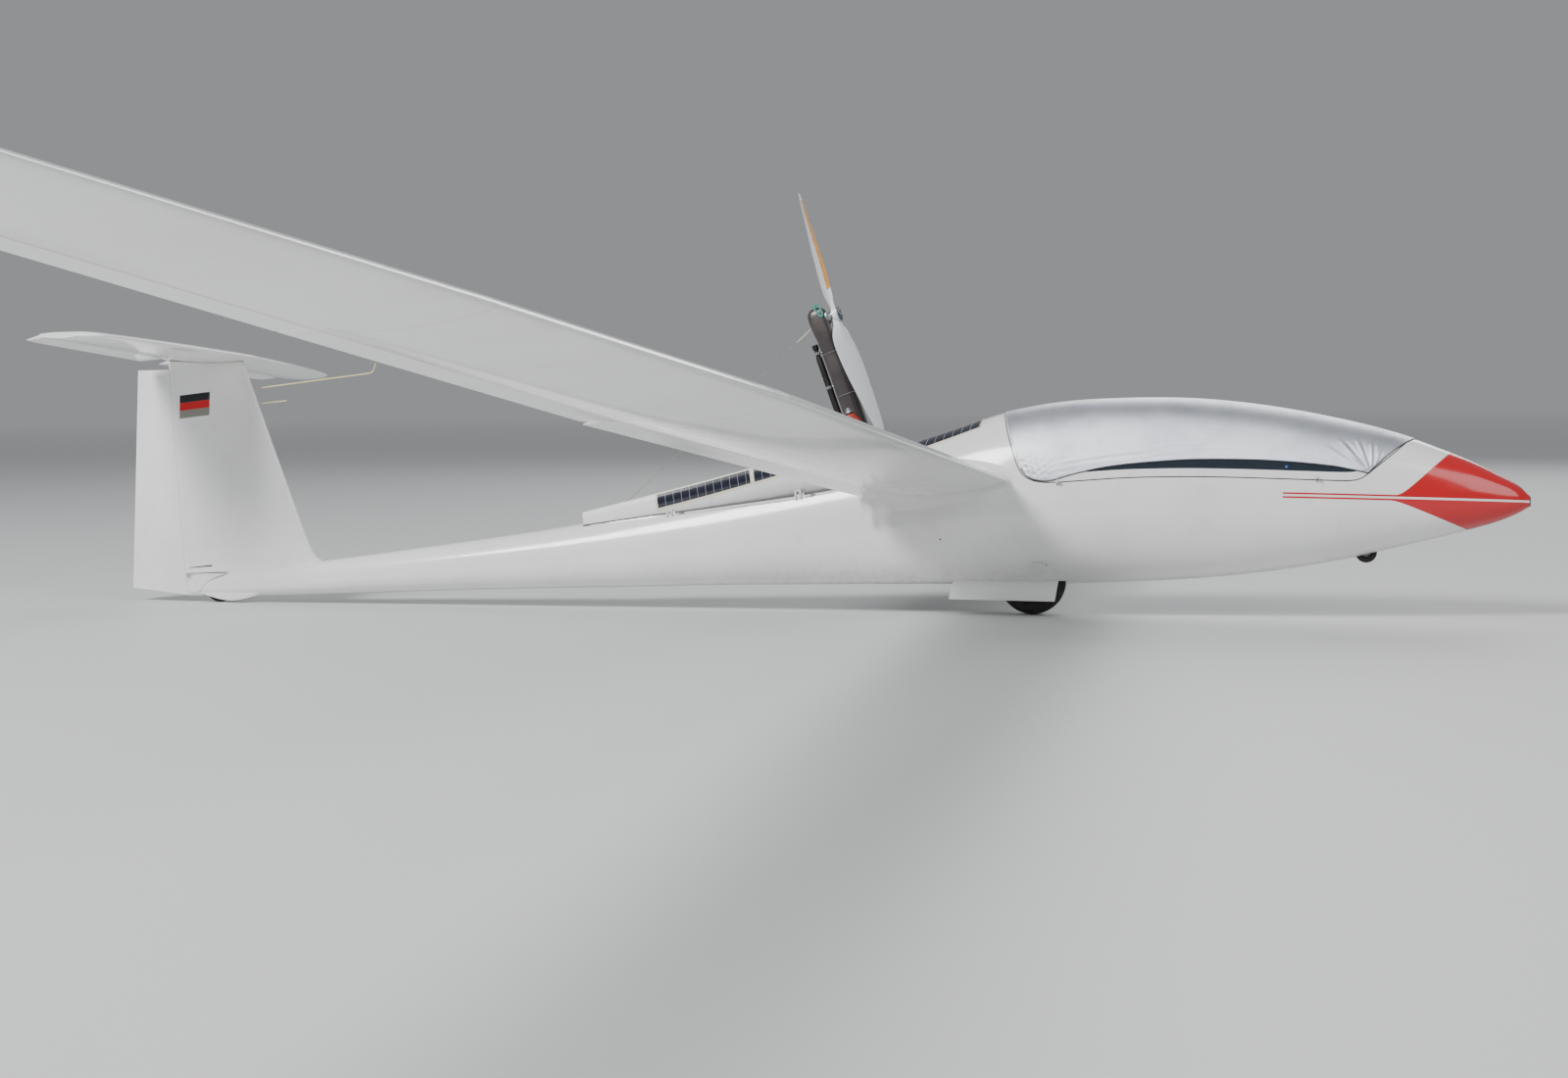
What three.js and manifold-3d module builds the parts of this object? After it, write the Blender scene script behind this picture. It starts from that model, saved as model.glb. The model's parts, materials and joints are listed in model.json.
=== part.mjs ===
// A two-seat self-launching sailplane with a retracting propeller pylon, parked on its
// wheels with its port wing tip on the ground. Millimetres, +Z up, nose towards +X, port
// towards +Y. The airframe is drawn upright round its main wheel's contact point, then it
// is rolled onto its port tip as one group.
import * as THREE from 'three';
import { mergeVertices } from 'three/addons/utils/BufferGeometryUtils.js';
import Module from 'manifold-3d';

const wasm = await Module();
wasm.setup();

// Driving dimensions.
const ROLL = 4.79;
const SKIN = 12;
const SEAM = 0.3;
const RUNNING_GAP = 6;

// Fuselage sections: station x, top z, bottom z, half width.
const FUSELAGE = [
  [2820, 700, 652, 24],
  [2760, 762, 612, 76],
  [2640, 830, 560, 124],
  [2480, 912, 512, 172],
  [2300, 985, 463, 213],
  [2100, 1058, 414, 250],
  [1800, 1137, 342, 297],
  [1400, 1217, 272, 334],
  [1000, 1262, 226, 352],
  [600, 1271, 200, 356],
  [200, 1252, 181, 350],
  [-150, 1195, 174, 334],
  [-500, 1082, 172, 305],
  [-800, 988, 168, 272],
  [-1150, 892, 162, 240],
  [-1500, 798, 156, 215],
  [-2000, 678, 145, 190],
  [-2500, 578, 128, 172],
  [-2970, 492, 116, 155],
  [-3700, 385, 92, 130],
  [-4500, 277, 60, 100],
  [-5000, 215, 42, 70],
  [-5300, 180, 36, 48],
  [-5478, 160, 34, 40],
];
const WIDEST_AT = 0.46;
const SQUARENESS = 2.2;
const AROUND = 24;

// Stations where the fuselage is split, and the hollow in each part.
const BAY_FRONT = -600;
const BOOM_FRONT = -2850;
const COCKPIT = { front: 2300, rear: -560 };
const BAY = { front: -640, rear: -2825, floor: 40 };

// Canopy outline in side view: x, z of its lower edge, from the front of its arch to the rear.
const CANOPY_EDGE = [
  [2205, 1062],
  [1950, 830],
  [1890, 787],
  [1040, 797],
  [150, 762],
  [20, 790],
  [-35, 840],
  [-170, 1205],
];
const CANOPY_FRAME = 45;
const COVER_HEM = [
  [2190, 1060],
  [1938, 824],
  [1880, 838],
  [1730, 866],
  [1400, 894],
  [1036, 900],
  [485, 858],
  [276, 812],
  [150, 775],
  [30, 796],
  [-22, 845],
  [-158, 1205],
];
const CANOPY_HINGE = [[200, -362, 767], [1660, -326, 793]];

// Engine doors in plan: half width of the opening at its front and rear.
const DOOR_FRONT = { x: -800, half: 236 };
const DOOR_REAR = { x: -2785, half: 88 };
const DOOR_OPEN = 65;
const DOOR_GAP = 3.5;
const DOOR_NOTCH = { x: -1190, half: 92 };

// Outside hinges: knuckle radius and half length, strap width, and how deep it sits in a skin.
const KNUCKLE = { radius: 6, half: 15, strap: 16, seat: 16 };
const DOOR_HINGES = [-1390, -2210];
const CANOPY_HINGE_DROP = 24;

// Propeller pylon: pivot, lean aft when raised, distance to the propeller's axis.
const PYLON = {
  pivot: [-934, 0, 760],
  lean: 20.5,
  length: 1064,
  face: 58,
  hubOffset: 97,
  pin: 12,
};
const BEARER = { inner: 62, thick: 10, front: -892, rear: -976, top: 786, bore: 12.4 };
const PROPELLER = { radius: 778, hub: 42, pitch: 976, rake: 3, chord: 130 };

// Wheels: centre x, z, radius, width, and the flats that make their round.
const MAIN_WHEEL = { x: 0, z: 195, radius: 195, width: 150, rim: 82, round: 28 };
const NOSE_WHEEL = { x: 1919, z: 384, radius: 61, width: 40, rim: 26, round: 16 };
const TAIL_WHEEL = { x: -5270, z: 99, radius: 100, width: 50, rim: 45, round: 20 };
const WHEEL_WELL = { front: 215, rear: -462, half: 105, top: 470 };

// Wing stations: y, leading edge x and z, chord, thickness over chord.
const WING = {
  root: [372, -95, 776, 885, 0.15],
  kink: [5290, -93, 908, 870, 0.15],
  break: [8200, -190, 980, 690, 0.145],
  tip: [12750, -480, 1103, 330, 0.13],
  raised: [13040, -560, 1132, 240, 0.12],
  end: [13150, -640, 1164, 130, 0.10],
};
const TIP_SKID = { x: -620, y: 12900, bottom: 1079.5, length: 130, width: 28, height: 26 };
const INCIDENCE = 5.5;
const HINGE_AT = 0.83;
const FLAP_DROOP = 4;
const BRACKET = 8;
const HINGE_PIN = 5;
const AILERON_END = 12300;

// Section of the wing: fraction of chord, height above and below the chord over thickness.
const AIRFOIL = [
  [0, 0, 0],
  [0.012, 0.15, -0.08],
  [0.05, 0.32, -0.16],
  [0.14, 0.50, -0.25],
  [0.30, 0.63, -0.34],
  [0.45, 0.64, -0.36],
  [0.62, 0.52, -0.29],
  [0.83, 0.27, -0.08],
  [1, 0.02, -0.01],
];

// Tailplane stations: y, leading edge x, trailing edge x.
const TAILPLANE = [[0, -5063, -5800], [1440, -5225, -5772], [1540, -5270, -5760], [1580, -5400, -5735]];
const TAILPLANE_Z = 1572;
const ELEVATOR_HINGE_X = -5655;
const ELEVATOR_INNER = 120;
const ELEVATOR_DROOP = 12;

// Fin sections: z, leading edge x, half thickness. The rudder's hinge line leans aft.
const FIN = [[130, -4440, 40], [255, -4480, 52], [330, -4632, 66], [800, -4830, 58], [1560, -5140, 42]];
const RUDDER = {
  bottom: 42,
  top: 1492,
  hingeBottom: -5492,
  hingeTop: -5650,
  noseBottom: 34,
  noseTop: 22,
  hinges: [330, 1230],
};
const RUDDER_TRAILING = { bottom: -5890, top: -5879 };

const rad = THREE.MathUtils.degToRad;

// Shapes.

function paint(color, roughness, metalness = 0) {
  return new THREE.MeshStandardMaterial({ color, roughness, metalness });
}

const PAINT = {
  gelcoat: () => paint(0xf2f3f1, 0.25),
  glass: () => paint(0x20262a, 0.08),
  cover: () => paint(0xc4c6ca, 0.4, 0.5),
  carbon: () => paint(0x1c1a18, 0.45),
  steel: () => paint(0x9a9c9e, 0.35, 0.9),
  rubber: () => paint(0x181818, 0.85),
  upholstery: () => paint(0x6b6f74, 0.9),
  panel: () => paint(0x25282b, 0.6),
  engine: () => paint(0x55585a, 0.5, 0.7),
};

// A closed body through rings of equally many points, capped in the plane named.
function loft(rings, plane) {
  const axes = { yz: [1, 2], xz: [0, 2], xy: [0, 1] }[plane];
  const count = rings[0].length;
  const positions = rings.flat(2);
  const index = [];
  for (let i = 0; i < rings.length - 1; i += 1) {
    for (let j = 0; j < count; j += 1) {
      const a = i * count + j;
      const b = i * count + (j + 1) % count;
      index.push(a, b, a + count, b, b + count, a + count);
    }
  }
  [[0, true], [rings.length - 1, false]].forEach(([ring, first]) => {
    const flat = rings[ring].map((p) => new THREE.Vector2(p[axes[0]], p[axes[1]]));
    const clockwise = THREE.ShapeUtils.isClockWise(flat);
    THREE.ShapeUtils.triangulateShape(clockwise ? flat.slice().reverse() : flat, []).forEach((face) => {
      const corners = face.map((k) => ring * count + (clockwise ? count - 1 - k : k));
      const outward = sameWay(rings, corners, count, first);
      index.push(...(outward ? corners : corners.slice().reverse()));
    });
  });
  const geometry = new THREE.BufferGeometry();
  geometry.setAttribute('position', new THREE.Float32BufferAttribute(positions, 3));
  geometry.setIndex(index);
  return facesOut(geometry);
}

// A cap's triangle must run the way that closes the walls next to it.
function sameWay(rings, corners, count, first) {
  const ring = first ? 0 : rings.length - 1;
  for (let k = 0; k < 3; k += 1) {
    const a = corners[k] - ring * count;
    const b = corners[(k + 1) % 3] - ring * count;
    if ((a + 1) % count === b) {
      return !first;
    }
    if ((b + 1) % count === a) {
      return first;
    }
  }
  return windsForward(corners, ring * count) ? !first : first;
}

// Corners that aren't neighbours on the ring still run forwards or backwards round it.
function windsForward(corners, base) {
  const [a, b, c] = corners.map((corner) => corner - base);
  return (a < b && b < c) || (b < c && c < a) || (c < a && a < b);
}

function facesOut(geometry) {
  const p = geometry.getAttribute('position');
  const index = geometry.getIndex().array;
  let volume = 0;
  const [a, b, c] = [new THREE.Vector3(), new THREE.Vector3(), new THREE.Vector3()];
  for (let i = 0; i < index.length; i += 3) {
    a.fromBufferAttribute(p, index[i]);
    b.fromBufferAttribute(p, index[i + 1]);
    c.fromBufferAttribute(p, index[i + 2]);
    volume += a.dot(b.cross(c));
  }
  if (volume < 0) {
    const turned = Array.from(index);
    for (let i = 0; i < turned.length; i += 3) {
      [turned[i], turned[i + 1]] = [turned[i + 1], turned[i]];
    }
    geometry.setIndex(turned);
  }
  return geometry;
}

// Boolean work: a geometry becomes a solid, and a solid a geometry again.
function solid(geometry) {
  const bare = geometry.clone();
  bare.deleteAttribute('normal');
  bare.deleteAttribute('uv');
  const merged = mergeVertices(bare, 1e-3);
  return new wasm.Manifold(new wasm.Mesh({
    numProp: 3,
    vertProperties: new Float32Array(merged.getAttribute('position').array),
    triVerts: new Uint32Array(merged.getIndex().array),
  }));
}

function geometryOf(body) {
  const mesh = body.getMesh();
  const geometry = new THREE.BufferGeometry();
  geometry.setAttribute('position', new THREE.Float32BufferAttribute(mesh.vertProperties, 3));
  geometry.setIndex(Array.from(mesh.triVerts));
  return geometry;
}

function box(x0, x1, y0, y1, z0, z1) {
  const geometry = new THREE.BoxGeometry(Math.abs(x1 - x0), Math.abs(y1 - y0), Math.abs(z1 - z0));
  return geometry.translate((x0 + x1) / 2, (y0 + y1) / 2, (z0 + z1) / 2);
}

// A side-view outline (x, z) drawn through from y0 to y1.
function sidePlate(outline, y0, y1) {
  const shape = new THREE.Shape(outline.map(([x, z]) => new THREE.Vector2(x, z)));
  const geometry = new THREE.ExtrudeGeometry(shape, { depth: y1 - y0, bevelEnabled: false });
  return geometry.rotateX(Math.PI / 2).translate(0, y1, 0);
}

// A plan outline (x, y) drawn up from z0 to z1.
function planPlate(outline, z0, z1) {
  const shape = new THREE.Shape(outline.map(([x, y]) => new THREE.Vector2(x, y)));
  return new THREE.ExtrudeGeometry(shape, { depth: z1 - z0, bevelEnabled: false }).translate(0, 0, z0);
}

// A disc or ring round the Y axis: profile pairs of radius and y, closed on itself.
function turned(profile, x, z, segments = 32) {
  const points = profile.map(([radius, y]) => new THREE.Vector2(radius, y));
  return new THREE.LatheGeometry(points, segments).translate(x, 0, z);
}

function rod(from, to, radius, segments = 10) {
  const a = new THREE.Vector3(...from);
  const b = new THREE.Vector3(...to);
  const geometry = new THREE.CylinderGeometry(radius, radius, a.distanceTo(b), segments);
  const along = b.clone().sub(a).normalize();
  geometry.applyQuaternion(new THREE.Quaternion().setFromUnitVectors(new THREE.Vector3(0, 1, 0), along));
  return geometry.translate((a.x + b.x) / 2, (a.y + b.y) / 2, (a.z + b.z) / 2);
}

// A bar that reaches from a hinge's axis to what carries it, bored for the hinge's pin.
function ear(centre, axis, reach, length, thickness, radius, bore) {
  const shape = new THREE.Shape();
  shape.moveTo(length, -radius);
  shape.lineTo(length, radius);
  shape.absarc(0, 0, radius, Math.PI / 2, (3 * Math.PI) / 2, false);
  shape.holes.push(new THREE.Path().absarc(0, 0, bore, 0, 2 * Math.PI, true));
  const options = { depth: thickness, bevelEnabled: false, curveSegments: 6 };
  const geometry = new THREE.ExtrudeGeometry(shape, options).translate(0, 0, -thickness / 2);
  const z = new THREE.Vector3(...axis).normalize();
  const x = new THREE.Vector3(...reach).addScaledVector(z, -z.dot(new THREE.Vector3(...reach))).normalize();
  const frame = new THREE.Matrix4().makeBasis(x, z.clone().cross(x), z).setPosition(...centre);
  return solid(geometry.applyMatrix4(frame));
}

// A surface hinge: two fixed knuckles and a moving one between them, each with its strap.
// The straps drop away from the side that axis x outward points to.
function knuckles(centre, axis, outward, drop) {
  const line = new THREE.Vector3(...axis).normalize();
  const side = new THREE.Vector3(...outward).projectOnPlane(line).normalize();
  const frame = new THREE.Matrix4()
    .makeBasis(line, side, line.clone().cross(side))
    .setPosition(...centre);
  const piece = (x0, x1, direction) => {
    const barrel = new THREE.CylinderGeometry(KNUCKLE.radius, KNUCKLE.radius, x1 - x0, 10)
      .rotateZ(Math.PI / 2)
      .translate((x0 + x1) / 2, 0, 0);
    const [near, far] = [0, KNUCKLE.strap].map((y) => direction * y);
    const strap = box(x0, x1, near, far, -drop, 0);
    return solid(barrel.applyMatrix4(frame)).add(solid(strap.applyMatrix4(frame)));
  };
  return {
    moving: piece(-KNUCKLE.half, KNUCKLE.half, -1),
    fixed: piece(KNUCKLE.half + 0.5, 2 * KNUCKLE.half, 1).add(piece(-2 * KNUCKLE.half, -KNUCKLE.half - 0.5, 1)),
  };
}

// Fuselage surface.

// Smooth value of a column of the section table at a station.
function along(x, column) {
  const rows = FUSELAGE;
  let i = rows.findIndex((row) => row[0] <= x);
  i = i === -1 ? rows.length - 1 : Math.max(i, 1);
  const slope = (k) => {
    const before = rows[Math.max(k - 1, 0)];
    const after = rows[Math.min(k + 1, rows.length - 1)];
    return (after[column] - before[column]) / (after[0] - before[0]);
  };
  const [p, q] = [rows[i - 1], rows[i]];
  const width = q[0] - p[0];
  const t = (x - p[0]) / width;
  const curve = [2 * t ** 3 - 3 * t ** 2 + 1, t ** 3 - 2 * t ** 2 + t, 3 * t ** 2 - 2 * t ** 3, t ** 3 - t ** 2];
  return curve[0] * p[column] + curve[1] * width * slope(i - 1) + curve[2] * q[column] + curve[3] * width * slope(i);
}

function section(x, inset = 0) {
  const top = along(x, 1) - inset;
  const bottom = along(x, 2) + inset;
  const half = along(x, 3) - inset;
  return { top, bottom, half, middle: bottom + (top - bottom) * WIDEST_AT };
}

function fuselageRing(x, inset = 0) {
  const { top, bottom, half, middle } = section(x, inset);
  const power = 2 / SQUARENESS;
  return Array.from({ length: AROUND }, (_, k) => {
    const angle = (2 * Math.PI * (k + 0.5)) / AROUND;
    const [c, s] = [Math.cos(angle), Math.sin(angle)];
    const reach = s > 0 ? top - middle : middle - bottom;
    const y = half * Math.sign(c) * Math.abs(c) ** power;
    return [x, y, middle + reach * Math.sign(s) * Math.abs(s) ** power];
  });
}

// Height of the upper skin at a plan position.
function skinHeight(x, y) {
  const { top, half, middle } = section(x);
  return middle + (top - middle) * (1 - Math.abs(y / half) ** SQUARENESS) ** (1 / SQUARENESS);
}

// Stations between two ends: the ends and the table's own stations, split once between.
function stations(front, rear) {
  const own = FUSELAGE.map((row) => row[0]).filter((x) => x < front - 1 && x > rear + 1);
  const all = [front, ...own, rear];
  return all.flatMap((x, i) => (i === 0 || all[i - 1] - x < 360 ? [x] : [(x + all[i - 1]) / 2, x]));
}

function hull(front, rear, inset = 0) {
  return solid(loft(stations(front, rear).map((x) => fuselageRing(x, inset)), 'yz'));
}

// Wing surface.

// Chord position of a section: distance aft of the leading edge and height above the chord.
function atChord([y, x, z, chord], aft, up) {
  const tilt = rad(INCIDENCE);
  return [
    x - aft * chord * Math.cos(tilt) - up * chord * Math.sin(tilt),
    y,
    z - aft * chord * Math.sin(tilt) + up * chord * Math.cos(tilt),
  ];
}

function between(a, b, y) {
  const t = (y - a[0]) / (b[0] - a[0]);
  return a.map((value, i) => value + (b[i] - value) * t);
}

// Half the depth of a wing section at its hinge, which is the radius of the moving nose.
function hingeNose(station) {
  const [, above, below] = AIRFOIL[7];
  return ((above - below) / 2) * station[4] * station[3];
}

function hingePoint(station) {
  const [, above, below] = AIRFOIL[7];
  return atChord(station, HINGE_AT, ((above + below) / 2) * station[4]);
}

function wholeRing(station) {
  const thick = station[4];
  const upper = AIRFOIL.map(([aft, up]) => atChord(station, aft, up * thick));
  const lower = AIRFOIL.slice(1).map(([aft, , down]) => atChord(station, aft, down * thick));
  return [...upper.reverse(), ...lower];
}

// The fixed part of a section ends in a flat face just ahead of the moving nose.
function fixedRing(station) {
  const thick = station[4];
  const end = HINGE_AT - (hingeNose(station) + RUNNING_GAP) / station[3];
  const [aft0, up0, down0] = AIRFOIL[6];
  const [aft1, up1, down1] = AIRFOIL[7];
  const t = (end - aft0) / (aft1 - aft0);
  const rows = [...AIRFOIL.slice(0, 7), [end, up0 + (up1 - up0) * t, down0 + (down1 - down0) * t]];
  const upper = rows.map(([aft, up]) => atChord(station, aft, up * thick));
  const lower = rows.slice(1).map(([aft, , down]) => atChord(station, aft, down * thick));
  return [...upper.reverse(), ...lower];
}

// The moving part has a round nose about its hinge and tapers to the trailing edge.
function movingRing(station) {
  const thick = station[4];
  const [, above, below] = AIRFOIL[7];
  const nose = hingeNose(station) / station[3];
  const middle = ((above + below) / 2) * thick;
  const round = [30, 60, 90, 120, 150].map((angle) => (
    atChord(station, HINGE_AT - nose * Math.sin(rad(angle)), middle + nose * Math.cos(rad(angle)))
  ));
  return [
    atChord(station, 1, AIRFOIL[8][1] * thick),
    atChord(station, HINGE_AT, above * thick),
    ...round,
    atChord(station, HINGE_AT, below * thick),
    atChord(station, 1, AIRFOIL[8][2] * thick),
  ];
}

function panel(ring, ...list) {
  return loft(list.map(ring), 'xz');
}

function mirror(geometry) {
  const other = geometry.clone();
  other.scale(1, -1, 1);
  return facesOut(other.getIndex() ? other : mergeVertices(other));
}

// Assembly.

const airframe = new THREE.Group();

function part(name, finish, geometry, parent = airframe) {
  const mesh = new THREE.Mesh(geometry, finish());
  mesh.name = name;
  parent.add(mesh);
  return mesh;
}

// A hinged body: a group whose own X axis lies on the hinge, turned to its place at rest.
function pivot(name, start, end, meshes, turn = 0, parent = airframe) {
  const group = new THREE.Group();
  group.name = name;
  const line = new THREE.Vector3(...end).sub(new THREE.Vector3(...start)).normalize();
  group.position.set(...start);
  group.quaternion.setFromUnitVectors(new THREE.Vector3(1, 0, 0), line);
  airframe.add(group);
  airframe.updateMatrixWorld(true);
  meshes.forEach((mesh) => group.attach(mesh));
  if (parent !== airframe) {
    parent.attach(group);
  }
  group.rotateX(rad(turn));
  return group;
}

// Fuselage.

const body = hull(FUSELAGE[0][0], FUSELAGE.at(-1)[0]);
const slice = (front, rear) => solid(box(front, rear, -500, 500, -100, 1800));

// Wheel wells: the space round each wheel, and the block of that space with its walls.
const NOSE_WELL = { front: 70, half: 36, floor: 250, top: 458 };
const wheelSpace = (grow) => solid(box(
  WHEEL_WELL.front + grow, WHEEL_WELL.rear - grow,
  -WHEEL_WELL.half - grow, WHEEL_WELL.half + grow, 0, WHEEL_WELL.top + grow,
));
const noseSpace = (grow) => solid(box(
  NOSE_WHEEL.x + NOSE_WELL.front + grow, NOSE_WHEEL.x - NOSE_WELL.front - grow,
  -NOSE_WELL.half - grow, NOSE_WELL.half + grow, NOSE_WELL.floor, NOSE_WELL.top + grow,
));

const cabin = (clearance) => hull(COCKPIT.front, COCKPIT.rear, SKIN + clearance)
  .subtract(wheelSpace(SKIN + clearance))
  .subtract(noseSpace(SKIN + clearance));

const openAbove = (edge) => solid(sidePlate([...edge, [-170, 1500], [2205, 1500]], -500, 500));

// The same outline drawn in by a distance: the arch ends move along x and the rail moves up.
function drawnIn(edge, inwards) {
  const middle = 1000;
  return edge.map(([x, z]) => [x + Math.sign(middle - x) * (Math.abs(x - middle) > 880 ? inwards : 0),
    z + (Math.abs(x - middle) < 1100 ? inwards : 0)]);
}

const rootStub = solid(panel(wholeRing, [-WING.root[0], ...WING.root.slice(1)], WING.root));
const [canopyHingeRear, canopyHingeFront] = CANOPY_HINGE;
const canopyHingeLine = canopyHingeRear.map((value, i) => value - canopyHingeFront[i]);
const canopyHinges = CANOPY_HINGE.map((centre) => (
  knuckles(centre, canopyHingeLine, [0, 0, -1], CANOPY_HINGE_DROP)
));
const podSkin = body.intersect(slice(3000, BAY_FRONT))
  .add(rootStub.intersect(slice(3000, BAY_FRONT)))
  .subtract(cabin(0))
  .subtract(openAbove(CANOPY_EDGE))
  .subtract(wheelSpace(0))
  .subtract(noseSpace(0))
  .add(canopyHinges[0].fixed)
  .add(canopyHinges[1].fixed);
part('fuselage_pod', PAINT.gelcoat, geometryOf(podSkin));

const bay = (clearance) => hull(BAY.front - clearance, BAY.rear + clearance, SKIN + clearance).intersect(
  solid(sidePlate([
    [BAY.front, section(BAY.front).bottom + BAY.floor + clearance],
    [BAY.front, 1500],
    [BAY.rear, 1500],
    [BAY.rear, section(BAY.rear).bottom + BAY.floor + clearance],
  ], -500, 500)),
);

// The doors' opening in plan, drawn in by a gap on every side, for one side of the spine.
function doorPlan(gap, side) {
  const points = [
    [DOOR_FRONT.x - gap, side * (DOOR_FRONT.half - gap)],
    [DOOR_REAR.x + gap, side * (DOOR_REAR.half - gap)],
    [DOOR_REAR.x + gap, side * gap],
    [DOOR_NOTCH.x, side * gap],
    [DOOR_NOTCH.x, side * DOOR_NOTCH.half],
    [DOOR_FRONT.x - gap, side * DOOR_NOTCH.half],
  ];
  return planPlate(side > 0 ? points : points.slice().reverse(), 400, 1500);
}
const doorway = solid(planPlate([
  [DOOR_FRONT.x, -DOOR_FRONT.half],
  [DOOR_FRONT.x, DOOR_FRONT.half],
  [DOOR_REAR.x, DOOR_REAR.half],
  [DOOR_REAR.x, -DOOR_REAR.half],
].reverse(), 400, 1500));

const bayShell = body.intersect(slice(BAY_FRONT - SEAM, BOOM_FRONT))
  .add(rootStub.intersect(slice(BAY_FRONT - SEAM, BOOM_FRONT)))
  .subtract(bay(0))
  .subtract(doorway);

// The doors' straight hinge line lies a knuckle's radius above the skin at the opening's ends.
function doorHingeEnd({ x, half }, side) {
  const y = half - DOOR_GAP;
  return [x, side * y, skinHeight(x, y) + KNUCKLE.radius + 1];
}
const doorHinges = [];
[['engine_door_port', 1], ['engine_door_starboard', -1]].forEach(([name, side]) => {
  let lid = body.subtract(hull(BAY.front + 100, BAY.rear - 20, SKIN)).intersect(solid(doorPlan(2 * DOOR_GAP, side)));
  const [front, rear] = [DOOR_FRONT, DOOR_REAR].map((end) => doorHingeEnd(end, side));
  const [start, end] = side > 0 ? [rear, front] : [front, rear];
  const line = end.map((value, i) => value - start[i]);
  DOOR_HINGES.forEach((x) => {
    const t = (x - start[0]) / line[0];
    const centre = start.map((value, i) => value + line[i] * t);
    const drop = centre[2] - skinHeight(...centre) + KNUCKLE.seat;
    const hinge = knuckles(centre, line, [0, side, 0], drop);
    lid = lid.add(hinge.moving);
    doorHinges.push(hinge.fixed);
  });
  const door = part(name, PAINT.gelcoat, geometryOf(lid));
  pivot(`pivot_${name}`, start, end, [door], -DOOR_OPEN);
});
part('fuselage_bay', PAINT.gelcoat, geometryOf(doorHinges.reduce((whole, hinge) => whole.add(hinge), bayShell)));

// Tail boom and fin.

function rudderHinge(z) {
  const t = (z - RUDDER.bottom) / (RUDDER.top - RUDDER.bottom);
  return {
    x: RUDDER.hingeBottom + (RUDDER.hingeTop - RUDDER.hingeBottom) * t,
    nose: RUDDER.noseBottom + (RUDDER.noseTop - RUDDER.noseBottom) * t,
    trailing: RUDDER_TRAILING.bottom + (RUDDER_TRAILING.top - RUDDER_TRAILING.bottom) * t,
  };
}

function finRing([z, edge, thick], grow = 0) {
  const [front, half] = [edge + grow, thick + grow];
  const { x, nose } = rudderHinge(z);
  const rear = x + nose + RUNNING_GAP;
  const chord = front - rear;
  const side = [[0.02, 0.3], [0.1, 0.68], [0.3, 1], [0.6, 0.95], [1, nose / half]];
  const port = side.map(([aft, width]) => [front - aft * chord, width * half, z]);
  const starboard = side.map(([aft, width]) => [front - aft * chord, -width * half, z]).reverse();
  return [[front, 0, z], ...port, ...starboard];
}

function tailplaneRing([y, front, rear], grow = 0) {
  const chord = front - rear;
  const half = chord * 0.052;
  const hinge = (front - ELEVATOR_HINGE_X) / chord;
  const end = hinge - (tailNose(chord) + RUNNING_GAP) / chord;
  const rows = [[0.015, 0.3], [0.08, 0.62], [0.3, 1], [0.55, 0.85], [end, tailNose(chord) / half + 0.06]];
  const place = (aft, up) => [front + grow - aft * chord - (aft > 0.6 ? grow : 0), y, TAILPLANE_Z + up];
  const top = rows.map(([aft, height]) => place(aft, height * half + grow)).reverse();
  const bottom = rows.map(([aft, height]) => place(aft, -height * half - grow));
  return [...top, place(0, 0), ...bottom];
}

function tailNose(chord) {
  return chord * 0.024;
}

function elevatorRing([y, front, rear]) {
  const chord = front - rear;
  const nose = tailNose(chord);
  const arc = [0, 30, 60, 90, 120, 150, 180].map((angle) => (
    [ELEVATOR_HINGE_X + nose * Math.sin(rad(angle)), y, TAILPLANE_Z + nose * Math.cos(rad(angle))]
  ));
  return [[rear, y, TAILPLANE_Z + 2], ...arc, [rear, y, TAILPLANE_Z - 2]];
}

const tailHalf = (grow) => {
  const other = TAILPLANE.slice(1).reverse().map(([y, front, rear]) => [-y, front, rear]);
  return loft([...other, ...TAILPLANE].map((row) => tailplaneRing(row, grow)), 'xz');
};
const elevatorEars = [-1, 1].map((side) => (
  ear([ELEVATOR_HINGE_X, side * 60, TAILPLANE_Z], [0, 1, 0], [1, 0, 0], 40, 10, 13, 8.4)
));
part('tailplane', PAINT.gelcoat, geometryOf(solid(tailHalf(0)).add(elevatorEars[0]).add(elevatorEars[1])));

const tailSlot = solid(box(
  TAIL_WHEEL.x + TAIL_WHEEL.radius + 10, TAIL_WHEEL.x - TAIL_WHEEL.radius - 10, -34, 34, -10, 208,
));
const behindFin = solid(loft([RUDDER.bottom - 60, RUDDER.top + 120].map((z) => {
  const { x, nose } = rudderHinge(z);
  const front = x + nose + RUNNING_GAP;
  return [[front, -200, z], [front, 200, z], [-6200, 200, z], [-6200, -200, z]];
}), 'xy'));
const tail = body.intersect(slice(BOOM_FRONT - SEAM, -5600))
  .add(solid(loft(FIN.map((row) => finRing(row)), 'xy')))
  .subtract(behindFin)
  .subtract(solid(tailHalf(SEAM)))
  .subtract(tailSlot);
const rudderLine = [RUDDER.hingeTop - RUDDER.hingeBottom, 0, RUDDER.top - RUDDER.bottom];
const rudderEars = RUDDER.hinges.map((z) => {
  const { x, nose } = rudderHinge(z);
  return ear([x, 0, z], rudderLine, [1, 0, 0], nose + 2 * RUNNING_GAP, 8, 10, 5.4);
});
part('tail_boom_and_fin', PAINT.gelcoat, geometryOf(rudderEars.reduce((whole, one) => whole.add(one), tail)));

// Rudder and elevator.

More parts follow.
